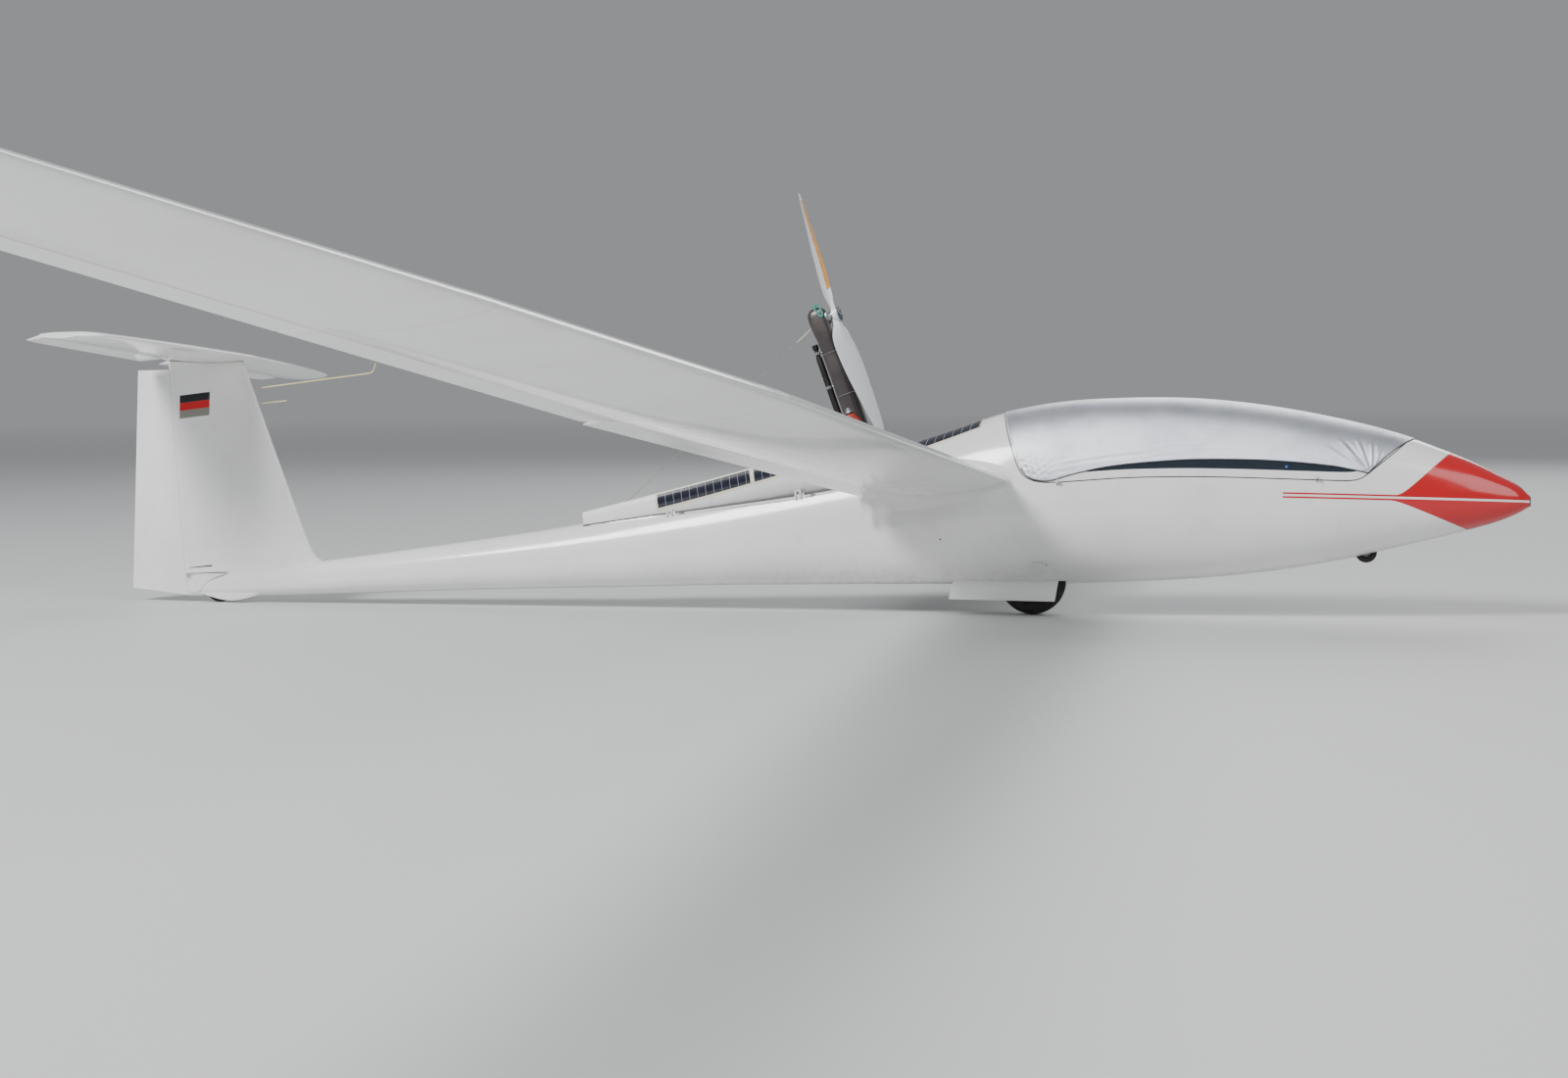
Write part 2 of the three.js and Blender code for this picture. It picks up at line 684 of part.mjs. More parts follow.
function rudderRing(z) {
  const { x, nose, trailing } = rudderHinge(z);
  const arc = [0, 30, 60, 90, 120, 150, 180].map((angle) => (
    [x + nose * Math.sin(rad(angle)), nose * Math.cos(rad(angle)), z]
  ));
  return [[trailing, 2, z], ...arc, [trailing, -2, z]];
}
const rudderBlade = RUDDER.hinges.reduce((blade, z) => {
  const { x } = rudderHinge(z);
  const [low, high] = [rudderHinge(z - 25), rudderHinge(z + 25)];
  const pin = solid(rod([low.x, 0, z - 25], [high.x, 0, z + 25], 5));
  return blade.subtract(solid(box(x - 16, x + 60, -60, 60, z - 12, z + 12))).add(pin);
}, solid(loft([RUDDER.bottom, RUDDER.top].map(rudderRing), 'xy')));
const rudder = part('rudder', PAINT.gelcoat, geometryOf(rudderBlade));
pivot(
  'pivot_rudder',
  [RUDDER.hingeBottom, 0, RUDDER.bottom],
  [RUDDER.hingeTop, 0, RUDDER.top],
  [rudder],
);

const elevatorRows = [between(TAILPLANE[0], TAILPLANE[1], ELEVATOR_INNER), ...TAILPLANE.slice(1, 3)];
const elevatorHalf = solid(loft(elevatorRows.map(elevatorRing), 'xz'));
const elevatorOther = solid(mirror(loft(elevatorRows.map(elevatorRing), 'xz')));
const torqueTube = solid(rod(
  [ELEVATOR_HINGE_X, -ELEVATOR_INNER - 20, TAILPLANE_Z],
  [ELEVATOR_HINGE_X, ELEVATOR_INNER + 20, TAILPLANE_Z],
  8,
));
const elevator = part('elevator', PAINT.gelcoat, geometryOf(elevatorHalf.add(elevatorOther).add(torqueTube)));
pivot(
  'pivot_elevator',
  [ELEVATOR_HINGE_X, 0, TAILPLANE_Z],
  [ELEVATOR_HINGE_X, 1000, TAILPLANE_Z],
  [elevator],
  -ELEVATOR_DROOP,
);

// Wings.

const skidShape = new THREE.SphereGeometry(1, 12, 8).rotateX(Math.PI / 2);
skidShape.scale(TIP_SKID.length, TIP_SKID.width, TIP_SKID.height);
skidShape.translate(TIP_SKID.x, TIP_SKID.y, TIP_SKID.bottom + TIP_SKID.height);
const tipSkid = solid(skidShape);

const at = (low, high, y) => between(WING[low], WING[high], y);
const raise = (station, gap) => [station[0] + gap, ...station.slice(1)];

// A hinge bracket on the outer end of a panel: a bar back to the hinge that the pins meet.
function bracket(station) {
  const centre = hingePoint(station);
  centre[1] -= BRACKET / 2;
  return ear(centre, [0, 1, 0], [1, 0, 0.1], hingeNose(station) + 3 * RUNNING_GAP, BRACKET, 9, 1);
}
const PANELS = [
  ['wing_inner', fixedRing, [WING.root, WING.kink], bracket(WING.kink)],
  ['wing_middle', fixedRing, [WING.kink, WING.break], bracket(WING.break)],
  ['wing_outer', fixedRing, [WING.break, at('break', 'tip', AILERON_END)]],
  ['wing_tip', wholeRing, [at('break', 'tip', AILERON_END), WING.tip, WING.raised, WING.end], tipSkid],
];
const SURFACES = [
  ['flap', ['root', 'kink'], [WING.root[0], 28], [WING.kink[0] - BRACKET, 6], FLAP_DROOP],
  ['aileron_inner', ['kink', 'break'], [WING.kink[0], 6], [WING.break[0] - BRACKET, 6], 0],
  ['aileron_outer', ['break', 'tip'], [WING.break[0], 6], [AILERON_END, 8], 0],
];
[['port', 1], ['starboard', -1]].forEach(([sideName, side]) => {
  const sided = (geometry) => (side > 0 ? geometry : mirror(geometry));
  const sidedPoint = ([x, y, z]) => [x, side * y, z];
  PANELS.forEach(([name, ring, list, extra]) => {
    const first = raise(list[0], SEAM);
    const whole = panel(ring, first, ...list.slice(1));
    part(`${name}_${sideName}`, PAINT.gelcoat, sided(extra ? geometryOf(solid(whole).add(extra)) : whole));
  });
  SURFACES.forEach(([name, [low, high], [carrier0, gap0], [carrier1, gap1], droop]) => {
    const ends = [at(low, high, carrier0 + gap0), at(low, high, carrier1 - gap1)];
    const pinEnds = [carrier0 + 2 * SEAM, carrier1 - SEAM].map((y) => hingePoint(at(low, high, y)));
    const blade = solid(panel(movingRing, ...ends)).add(solid(rod(...pinEnds, HINGE_PIN)));
    const surface = part(`${name}_${sideName}`, PAINT.gelcoat, sided(geometryOf(blade)));
    const line = ends.map(hingePoint).map(sidedPoint);
    const [start, end] = side > 0 ? line : line.slice().reverse();
    pivot(`pivot_${name}_${sideName}`, start, end, [surface], -droop);
  });
});

// Canopy and cockpit.

const skinOver = (outset, inset) => hull(2500, -400, -outset).subtract(hull(2520, -420, inset));
const lid = openAbove(drawnIn(CANOPY_EDGE, RUNNING_GAP));
const pane = openAbove(drawnIn(CANOPY_EDGE, RUNNING_GAP + CANOPY_FRAME));
const paneSeat = openAbove(drawnIn(CANOPY_EDGE, RUNNING_GAP + CANOPY_FRAME - SEAM));
const frameRing = skinOver(0, SKIN)
  .intersect(lid)
  .subtract(paneSeat)
  .add(canopyHinges[0].moving)
  .add(canopyHinges[1].moving);
const canopyFrame = part('canopy_frame', PAINT.gelcoat, geometryOf(frameRing));
const canopyGlass = part('canopy_glass', PAINT.glass, geometryOf(skinOver(0, 6).intersect(pane)));
const hem = solid(sidePlate([...COVER_HEM, [-158, 1500], [2190, 1500]], -500, 500));
const canopyCover = part('canopy_cover', PAINT.cover, geometryOf(skinOver(5, -SEAM).intersect(hem)));
pivot('pivot_canopy', ...CANOPY_HINGE, [canopyFrame, canopyGlass, canopyCover]);

const cabinTight = cabin(2 * SEAM);
const SEATS = [['seat_front', 1120], ['seat_rear', 180]];
SEATS.forEach(([name, x]) => {
  const profile = [
    [x + 560, 100],
    [x + 560, 400],
    [x + 500, 420],
    [x + 150, 385],
    [x + 10, 450],
    [x - 170, 900],
    [x - 215, 890],
    [x - 60, 430],
    [x - 60, 100],
  ];
  const bulk = solid(sidePlate(profile, -215, 215)).intersect(cabinTight);
  part(name, PAINT.upholstery, geometryOf(bulk));
});

const PANEL_STATIONS = [['instrument_panel_front', 1790, 590, 1000], ['instrument_panel_rear', 790, 640, 1020]];
PANEL_STATIONS.forEach(([name, x, low, high]) => {
  const board = solid(sidePlate([[x, low], [x + 40, low], [x + 60, high], [x + 20, high]], -170, 170));
  const post = solid(box(x, x + 40, -55, 55, 100, low + 20));
  part(name, PAINT.panel, geometryOf(board.add(post).intersect(cabinTight)));
});

[['control_stick_front', 1720], ['control_stick_rear', 765]].forEach(([name, x]) => {
  const lever = solid(rod([x, 0, 150], [x, 0, 520], 11)).add(solid(rod([x, 0, 510], [x - 30, 0, 610], 16)));
  part(name, PAINT.panel, geometryOf(lever.intersect(cabinTight)));
});

// Pylon and propeller.

const lean = rad(PYLON.lean);
const up = new THREE.Vector3(-Math.sin(lean), 0, Math.cos(lean));
const fore = new THREE.Vector3(Math.cos(lean), 0, Math.sin(lean));
const foot = new THREE.Vector3(...PYLON.pivot);
const onPylon = (height, ahead, y = 0) => {
  const p = foot.clone().addScaledVector(up, height).addScaledVector(fore, ahead);
  return [p.x, y, p.z];
};

// The housing's outline along the pylon: height, fore edge, aft edge, half width.
const HOUSING = [
  [-34, 22, -22, 20],
  [0, 40, -40, 34],
  [120, 52, -56, 46],
  [520, 60, -60, 52],
  [980, PYLON.face, -60, 52],
  [1110, PYLON.face, -56, 48],
  [1142, 32, -34, 30],
];
const housingRing = ([height, front, rear, half]) => {
  const corner = 0.45;
  const outline = [
    [front, half * corner],
    [front * 0.6, half],
    [rear * 0.6, half],
    [rear, half * corner],
    [rear, -half * corner],
    [rear * 0.6, -half],
    [front * 0.6, -half],
    [front, -half * corner],
  ];
  return outline.map(([ahead, y]) => onPylon(height, ahead, y));
};
const pinReach = BEARER.inner + BEARER.thick;
const pylonPin = solid(rod([PYLON.pivot[0], -pinReach, PYLON.pivot[2]], [PYLON.pivot[0], pinReach, PYLON.pivot[2]], PYLON.pin, 16));
const housing = part('pylon_housing', PAINT.carbon, geometryOf(solid(loft(HOUSING.map(housingRing), 'xy')).add(pylonPin)));
const strut = part('pylon_exhaust_pipe', PAINT.carbon, rod(onPylon(250, -92), onPylon(900, -84), 20, 12));
const clamps = solid(rod(onPylon(300, -92), onPylon(300, -60.3), 9, 8))
  .add(solid(rod(onPylon(850, -84), onPylon(850, -60.3), 9, 8)));
strut.geometry = geometryOf(solid(strut.geometry).add(clamps));

const hubCentre = onPylon(PYLON.length, PYLON.hubOffset);
// The hub is a shaft flange behind the blades, a core through them and a plate ahead.
const onThrustLine = (from, to, radius) => solid(rod(onPylon(PYLON.length, from), onPylon(PYLON.length, to), radius, 24));
const hub = part('propeller_hub', PAINT.steel, geometryOf(
  onThrustLine(PYLON.face + 0.5, 79.7, 30).add(onThrustLine(79, 117, 12)).add(onThrustLine(116.3, 128, PROPELLER.hub)),
));

// Blade sections: fraction of the radius, chord over the widest, thickness.
const BLADE = [
  [0.05, 0.34, 24],
  [0.16, 0.62, 20],
  [0.4, 1, 13],
  [0.7, 0.86, 9],
  [0.92, 0.6, 6],
  [1, 0.28, 3],
];
function bladeRing([fraction, width, thick], sign) {
  const reach = fraction * PROPELLER.radius;
  const pitch = Math.atan(PROPELLER.pitch / (2 * Math.PI * Math.max(reach, 200)));
  const ahead = PYLON.hubOffset + Math.sin(rad(PROPELLER.rake)) * reach;
  const chord = PROPELLER.chord * width;
  const half = thick / 2;
  const outline = [[0.5, 0], [0.2, half], [-0.25, half], [-0.5, 0], [-0.25, -half], [0.2, -half]];
  return outline.map(([across, out]) => {
    const y = -sign * (across * chord * Math.cos(pitch) - out * Math.sin(pitch));
    const forward = across * chord * Math.sin(pitch) + out * Math.cos(pitch);
    return onPylon(PYLON.length + sign * reach, ahead + forward, y);
  });
}
const bladePair = [1, -1].map((sign) => solid(loft(BLADE.map((row) => bladeRing(row, sign)), 'xy')));
const boss = onThrustLine(80, 116, 44);
const blades = part('propeller_blades', PAINT.gelcoat, geometryOf(
  bladePair[0].add(bladePair[1]).add(boss).subtract(onThrustLine(60, 140, 12.3)),
));
const pylonGroup = pivot('pivot_pylon', PYLON.pivot, [PYLON.pivot[0], -1000, PYLON.pivot[2]], [housing, strut]);
pivot('pivot_propeller', hubCentre, onPylon(PYLON.length, 1000), [hub, blades], 0, pylonGroup);

const bayTight = bay(2 * SEAM);
part('engine_block', PAINT.engine, geometryOf(solid(box(-660, -880, -130, 130, 100, 600)).intersect(bayTight)));

// Two cheeks on the bay's floor carry the pylon's pin.
const cheek = (side) => {
  const [y0, y1] = [side * BEARER.inner, side * (BEARER.inner + BEARER.thick)];
  return solid(box(BEARER.front, BEARER.rear, y0, y1, 100, BEARER.top));
};
const foundation = solid(box(BEARER.front, BEARER.rear, -BEARER.inner - 1, BEARER.inner + 1, 100, 420));
const [pinX, , pinZ] = PYLON.pivot;
const pinBore = solid(rod([pinX, -100, pinZ], [pinX, 100, pinZ], BEARER.bore, 16));
part('pylon_bearer', PAINT.steel, geometryOf(
  cheek(1).add(cheek(-1)).add(foundation).intersect(bayTight).subtract(pinBore),
));

// Wheels.

function tyre({ x, z, radius, width, rim, round }) {
  const half = width / 2;
  return turned([
    [rim, -half * 0.7],
    [rim + 8, -half * 0.9],
    [radius * 0.78, -half],
    [radius * 0.93, -half * 0.72],
    [radius, -half * 0.25],
    [radius, half * 0.25],
    [radius * 0.93, half * 0.72],
    [radius * 0.78, half],
    [rim + 8, half * 0.9],
    [rim, half * 0.7],
    [rim, -half * 0.7],
  ], x, z, round);
}

function rimDisc({ x, z, width, rim, round }, bore) {
  const half = width / 2;
  return turned([
    [bore, -half * 0.8],
    [rim * 0.8, -half * 0.8],
    [rim - SEAM, -half * 0.66],
    [rim - SEAM, half * 0.66],
    [rim * 0.8, half * 0.8],
    [bore, half * 0.8],
    [bore, -half * 0.8],
  ], x, z, round);
}

const WHEELS = [['main_wheel', MAIN_WHEEL, 16], ['nose_wheel', NOSE_WHEEL, 6], ['tail_wheel', TAIL_WHEEL, 8]];
WHEELS.forEach(([name, wheel, bore]) => {
  const tread = part(`${name}_tyre`, PAINT.rubber, tyre(wheel));
  const disc = part(`${name}_rim`, PAINT.steel, rimDisc(wheel, bore));
  pivot(`pivot_${name}`, [wheel.x, 0, wheel.z], [wheel.x, 1000, wheel.z], [tread, disc]);
});

// Forks: two arms and an axle, seated under the roof of each well.
const FORKS = [
  ['main_gear_fork', MAIN_WHEEL, 16, 82, 12, 60, WHEEL_WELL.top],
  ['nose_wheel_fork', NOSE_WHEEL, 6, 25, 6, 22, NOSE_WELL.top],
  ['tail_wheel_fork', TAIL_WHEEL, 8, 29, 4.7, 30, 208],
];
FORKS.forEach(([name, { x, z, radius }, axle, inner, thick, width, roof]) => {
  const arm = (y0) => solid(box(x - width / 2, x + width / 2, y0, y0 + thick, z - width / 2, roof - SEAM));
  const bridge = solid(box(x - width / 2, x + width / 2, -inner - thick, inner + thick, z + radius + 8, roof - SEAM));
  const pin = solid(rod([x, -inner - thick, z], [x, inner + thick, z], axle - 0.4, 20));
  part(name, PAINT.steel, geometryOf(arm(-inner - thick).add(arm(inner)).add(bridge).add(pin)));
});

// Gear doors hang open from the edges of the wheel well.
const DOOR_PLATE = [[170, 230], [-455, 230], [-484, 82], [148, 76]];
[['gear_door_port', 1], ['gear_door_starboard', -1]].forEach(([name, side]) => {
  const [y0, y1] = side > 0 ? [WHEEL_WELL.half + 1, WHEEL_WELL.half + 6] : [-WHEEL_WELL.half - 6, -WHEEL_WELL.half - 1];
  const plate = solid(sidePlate(DOOR_PLATE, y0, y1));
  const lowered = solid(loft(stations(600, -900).map((x) => fuselageRing(x, -2 * SEAM)), 'yz'));
  part(name, PAINT.gelcoat, geometryOf(plate.subtract(lowered)));
});

// Probes and small fittings.

const finTight = solid(loft(FIN.map((row) => finRing(row, SEAM)), 'xy'));
const longProbe = solid(rod([-5120, 0, 1359], [-4232, 0, 1463], 5)).add(solid(rod([-4236, 0, 1460], [-4210, 0, 1526], 4)));
part('probe_total_energy', PAINT.steel, geometryOf(longProbe.subtract(finTight)));
part('probe_pitot', PAINT.steel, geometryOf(solid(rod([-5080, 0, 1266], [-4822, 0, 1289], 4)).subtract(finTight)));

// Parked: rolled onto the port tip, with the middle of the whole box's floor at the origin.
airframe.rotation.x = -rad(ROLL);
airframe.updateMatrixWorld(true);
const extent = new THREE.Box3().setFromObject(airframe, true);
const middle = extent.getCenter(new THREE.Vector3());
airframe.position.set(-middle.x, -middle.y, -extent.min.z);

export default airframe;
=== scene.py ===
import json
import math

import bmesh
import bpy
import numpy as np
from mathutils import Matrix, Vector
from mathutils.bvhtree import BVHTree


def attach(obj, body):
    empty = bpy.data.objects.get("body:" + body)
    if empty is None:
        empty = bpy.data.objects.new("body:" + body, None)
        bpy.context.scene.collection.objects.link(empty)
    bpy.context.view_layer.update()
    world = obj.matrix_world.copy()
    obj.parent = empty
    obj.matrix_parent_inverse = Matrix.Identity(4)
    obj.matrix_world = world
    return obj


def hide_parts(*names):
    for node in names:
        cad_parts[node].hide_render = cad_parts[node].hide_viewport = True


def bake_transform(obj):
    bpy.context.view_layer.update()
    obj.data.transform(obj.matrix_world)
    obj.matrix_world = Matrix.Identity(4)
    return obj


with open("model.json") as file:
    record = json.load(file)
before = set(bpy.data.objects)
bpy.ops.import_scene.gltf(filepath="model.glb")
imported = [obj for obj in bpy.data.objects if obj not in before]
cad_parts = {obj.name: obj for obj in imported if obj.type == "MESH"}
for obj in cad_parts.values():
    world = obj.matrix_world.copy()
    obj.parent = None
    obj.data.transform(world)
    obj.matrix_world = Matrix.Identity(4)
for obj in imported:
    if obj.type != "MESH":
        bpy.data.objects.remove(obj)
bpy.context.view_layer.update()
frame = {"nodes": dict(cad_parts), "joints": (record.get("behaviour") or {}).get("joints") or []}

# Camera. It stands low, off the starboard side and level with the cockpit, and looks slightly
# aft. Its place is taken from where the main wheel meets the ground.
CAMERA_PLACE = (2.477, -14.944, 1.484)
CAMERA_TURN, CAMERA_DOWN, CAMERA_TILT = 14.95, 3.89, -0.57
LENS = 58.9
MAIN_AXLE_HEIGHT = 0.195

joints = {joint["name"]: joint for joint in frame["joints"]}
main_axle = joints["main_wheel_spin"]
# The aircraft is drawn upright round the wheel's contact point and parked rolled onto its tip.
lean_to_port = math.atan2(-main_axle["axis"][2], main_axle["axis"][1])
PARKED = (
    Matrix.Translation(main_axle["pos_m"])
    @ Matrix.Rotation(-lean_to_port, 4, "X")
    @ Matrix.Translation((0, 0, -MAIN_AXLE_HEIGHT))
)
contact = PARKED.to_translation()

camera = bpy.data.objects.new("camera", bpy.data.cameras.new("camera"))
camera.data.lens = LENS
camera.data.sensor_width = 36
camera.data.clip_end = 500
bpy.context.scene.collection.objects.link(camera)
camera.matrix_world = (
    Matrix.Translation(contact + Vector(CAMERA_PLACE))
    @ Matrix.Rotation(math.radians(CAMERA_TURN), 4, "Z")
    @ Matrix.Rotation(math.radians(90 - CAMERA_DOWN), 4, "X")
    @ Matrix.Rotation(math.radians(CAMERA_TILT), 4, "Z")
)
bpy.context.scene.camera = camera


# Fuselage. Two carbon half shells bonded along the keel and sprayed with white gelcoat, hollow
# round the cockpit, the wheel wells and the engine bay. The fin grows out of its tail boom.
# Sections: station x, top z, bottom z, half width.
FUSELAGE = [
    (2.820, 0.700, 0.652, 0.024),
    (2.760, 0.762, 0.612, 0.076),
    (2.640, 0.830, 0.560, 0.124),
    (2.480, 0.912, 0.512, 0.172),
    (2.300, 0.985, 0.463, 0.213),
    (2.100, 1.058, 0.414, 0.250),
    (1.800, 1.137, 0.342, 0.297),
    (1.400, 1.217, 0.272, 0.334),
    (1.000, 1.262, 0.226, 0.352),
    (0.600, 1.271, 0.200, 0.356),
    (0.200, 1.252, 0.181, 0.350),
    (-0.150, 1.195, 0.174, 0.334),
    (-0.500, 1.082, 0.172, 0.305),
    (-0.800, 0.988, 0.168, 0.272),
    (-1.150, 0.892, 0.162, 0.240),
    (-1.500, 0.798, 0.156, 0.215),
    (-2.000, 0.678, 0.145, 0.190),
    (-2.500, 0.578, 0.128, 0.172),
    (-2.970, 0.492, 0.116, 0.155),
    (-3.700, 0.385, 0.092, 0.130),
    (-4.500, 0.277, 0.060, 0.100),
    (-5.000, 0.215, 0.042, 0.070),
    (-5.300, 0.180, 0.036, 0.048),
    (-5.478, 0.160, 0.034, 0.040),
]
NOSE_END, TAIL_END = FUSELAGE[0][0], FUSELAGE[-1][0]
WIDEST_AT = 0.46
SQUARENESS = 2.2
SKIN = 0.012
NOSE_ROUND = 0.014
COCKPIT = (2.300, -0.560)
BAY = (-0.640, -2.825)
BAY_FLOOR = 0.040
WHEEL_WELL = (0.215, -0.462, 0.105, 0.0, 0.470)
NOSE_WELL = (1.989, 1.849, 0.036, 0.250, 0.458)
TAIL_SLOT = (-5.160, -5.380, 0.034, -0.010, 0.208)
DOOR_FRONT, DOOR_FRONT_HALF = -0.800, 0.236
DOOR_REAR, DOOR_REAR_HALF = -2.785, 0.088
# How far the shapes that cut the skin reach: half width, lowest z and highest z.
CUTTER_HALF, CUTTER_LOW, CUTTER_HIGH = 0.6, 0.4, 1.5
# The canopy's lower edge in side view, from the front of its arch to the rear: x, z.
CANOPY_EDGE = [
    (2.205, 1.062),
    (2.070, 0.932),
    (1.950, 0.830),
    (1.895, 0.789),
    (1.830, 0.778),
    (1.660, 0.781),
    (1.040, 0.796),
    (0.600, 0.790),
    (0.150, 0.762),
    (0.060, 0.770),
    (0.000, 0.797),
    (-0.037, 0.842),
    (-0.075, 0.930),
    (-0.170, 1.205),
]


def smooth(table, at):
    """The table's other columns where its first has the values at, on one smooth curve."""
    rows = np.array(table, float)
    rows = rows[np.argsort(rows[:, 0])]
    x, y = rows[:, 0], rows[:, 1:]
    before = np.maximum(np.arange(len(x)) - 1, 0)
    after = np.minimum(np.arange(len(x)) + 1, len(x) - 1)
    slope = (y[after] - y[before]) / (x[after] - x[before])[:, None]
    at = np.clip(np.ravel(at).astype(float), x[0], x[-1])
    i = np.clip(np.searchsorted(x, at) - 1, 0, len(x) - 2)
    width = (x[i + 1] - x[i])[:, None]
    t = (at - x[i])[:, None] / width
    near = (2 * t**3 - 3 * t**2 + 1) * y[i] + (t**3 - 2 * t**2 + t) * width * slope[i]
    far = (3 * t**2 - 2 * t**3) * y[i + 1] + (t**3 - t**2) * width * slope[i + 1]
    return near + far


def route(points, count):
    """Evenly spaced points on a smooth curve through a few."""
    points = np.array(points, float)
    steps = np.linalg.norm(np.diff(points, axis=0), axis=1)
    along = np.concatenate([[0], np.cumsum(steps)])
    return smooth(np.column_stack([along, points]), np.linspace(0, along[-1], count))


def hull(x, angle, inset=0.0):
    """Points of the fuselage's outer skin, or of one drawn in by inset."""
    top, bottom, half = smooth(FUSELAGE, x).T
    top, bottom, half = top - inset, bottom + inset, half - inset
    middle = bottom + (top - bottom) * WIDEST_AT
    c, s = np.cos(angle), np.sin(angle)
    y = half * np.sign(c) * np.abs(c) ** (2 / SQUARENESS)
    reach = np.where(s > 0, top - middle, middle - bottom)
    return np.stack([x + 0 * y, y, middle + reach * np.sign(s) * np.abs(s) ** (2 / SQUARENESS)], -1)


def hull_rings(front, rear, spacing=0.035, around=96, inset=0.0):
    x = np.linspace(front, rear, max(int(abs(front - rear) / spacing), 3))
    angle = (np.arange(around) + 0.5) * 2 * np.pi / around
    return np.array([hull(np.full(around, station), angle, inset) for station in x])


def skin_half(x, z):
    """Half width of the fuselage at a place in side view."""
    top, bottom, half = smooth(FUSELAGE, x).T
    middle = bottom + (top - bottom) * WIDEST_AT
    z = np.ravel(z)
    share = np.abs(z - middle) / np.where(z > middle, top - middle, middle - bottom)
    return half * np.clip(1 - share**SQUARENESS, 0, 1) ** (1 / SQUARENESS)


def skin_height(x, y):
    """Height of the upper skin at a place in plan."""
    top, bottom, half = smooth(FUSELAGE, x).T
    middle = bottom + (top - bottom) * WIDEST_AT
    share = np.clip(np.abs(np.ravel(y)) / half, 0, 1)
    return middle + (top - middle) * (1 - share**SQUARENESS) ** (1 / SQUARENESS)


def solid(name, points, faces):
    """A closed mesh with its faces turned outwards."""
    mesh = bpy.data.meshes.new(name)
    mesh.from_pydata([tuple(point) for point in points], [], faces)
    work = bmesh.new()
    work.from_mesh(mesh)
    bmesh.ops.remove_doubles(work, verts=work.verts, dist=1e-6)
    bmesh.ops.recalc_face_normals(work, faces=work.faces)
    work.to_mesh(mesh)
    work.free()
    piece = bpy.data.objects.new(name, mesh)
    bpy.context.scene.collection.objects.link(piece)
    return piece


def loft(name, rings, closed=False):
    """A solid through rings of equally many points, capped at both ends or closed on itself."""
    rings = np.asarray(rings, float)
    count, around = rings.shape[:2]
    corner = np.arange(count * around).reshape(count, around)
    here = corner if closed else corner[:-1]
    there = np.roll(corner, -1, 0) if closed else corner[1:]
    quads = np.stack([here, np.roll(here, -1, 1), np.roll(there, -1, 1), there], -1)
    faces = quads.reshape(-1, 4).tolist()
    if not closed:
        faces += [corner[0][::-1].tolist(), corner[-1].tolist()]
    return solid(name, rings.reshape(-1, 3), faces)


def prism(name, outline, low, high, axes="xz"):
    """An outline in side view (xz) or plan (xy), drawn through the third direction."""
    outline = np.array(outline, float)
    rings = []
    for level in (low, high):
        depth = np.full(len(outline), level)
        order = {"xz": (0, 2, 1), "xy": (0, 1, 2)}[axes]
        columns = [outline[:, 0], outline[:, 1], depth]
        rings.append(np.stack([columns[k] for k in order], -1))
    return loft(name, rings)


def block(front, rear, half, low, high, grow=0.0):
    """A box to cut with, larger by grow all round but for its floor."""
    outline = [
        (front + grow, -half - grow),
        (front + grow, half + grow),
        (rear - grow, half + grow),
        (rear - grow, -half - grow),
    ]
    return prism("cutter", outline, low, high + grow, "xy")


def settle(piece):
    """Works a piece's modifiers into its mesh."""
    bpy.context.view_layer.update()
    shape = piece.evaluated_get(bpy.context.evaluated_depsgraph_get())
    mesh = bpy.data.meshes.new_from_object(shape)
    piece.modifiers.clear()
    piece.data = mesh
    return piece


def combine(piece, other, operation):
    """Cuts, joins or crosses one solid with another, which is used up."""
    step = piece.modifiers.new("shape", "BOOLEAN")
    step.operation = operation
    step.solver = "MANIFOLD"
    step.object = other
    settle(piece)
    bpy.data.objects.remove(other)
    return piece


def cut(piece, *others):
    for other in others:
        combine(piece, other, "DIFFERENCE")
    return piece


def above(edge):
    """Everything over an edge in side view, between its ends."""
    outline = [*edge, (edge[-1][0], CUTTER_HIGH), (edge[0][0], CUTTER_HIGH)]
    return prism("cutter", outline, -CUTTER_HALF, CUTTER_HALF)


def park(piece, finishes, joint=None, turn=0.0, sharp=32):
    """Keeps where a piece was drawn for its finish, then parks it with the aircraft.

    A piece that moves is drawn closed or neutral, and turned to its rest about its joint.
    """
    mesh = piece.data
    mesh.shade_smooth()
    mesh.set_sharp_from_angle(angle=math.radians(sharp))
    place = np.empty(len(mesh.vertices) * 3, np.float32)
    mesh.vertices.foreach_get("co", place)
    mesh.attributes.new("drawn", "FLOAT_VECTOR", "POINT").data.foreach_set("vector", place)
    mesh.transform(PARKED)
    if joint:
        pin = Matrix.Translation(joints[joint]["pos_m"])
        swing = Matrix.Rotation(math.radians(turn), 4, Vector(joints[joint]["axis"]))
        mesh.transform(pin @ swing @ pin.inverted())
    mesh.materials.clear()
    for finish in finishes if isinstance(finishes, list) else [finishes]:
        mesh.materials.append(finish.material)
    return piece


def fasten(piece, finishes, body, slot, *nodes, joint=None, turn=0.0, sharp=32):
    """Parks a finished piece on its body, in place of the plain solids that it stands for."""
    park(piece, finishes, joint, turn, sharp)
    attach(piece, body)
    if nodes:
        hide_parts(*nodes)


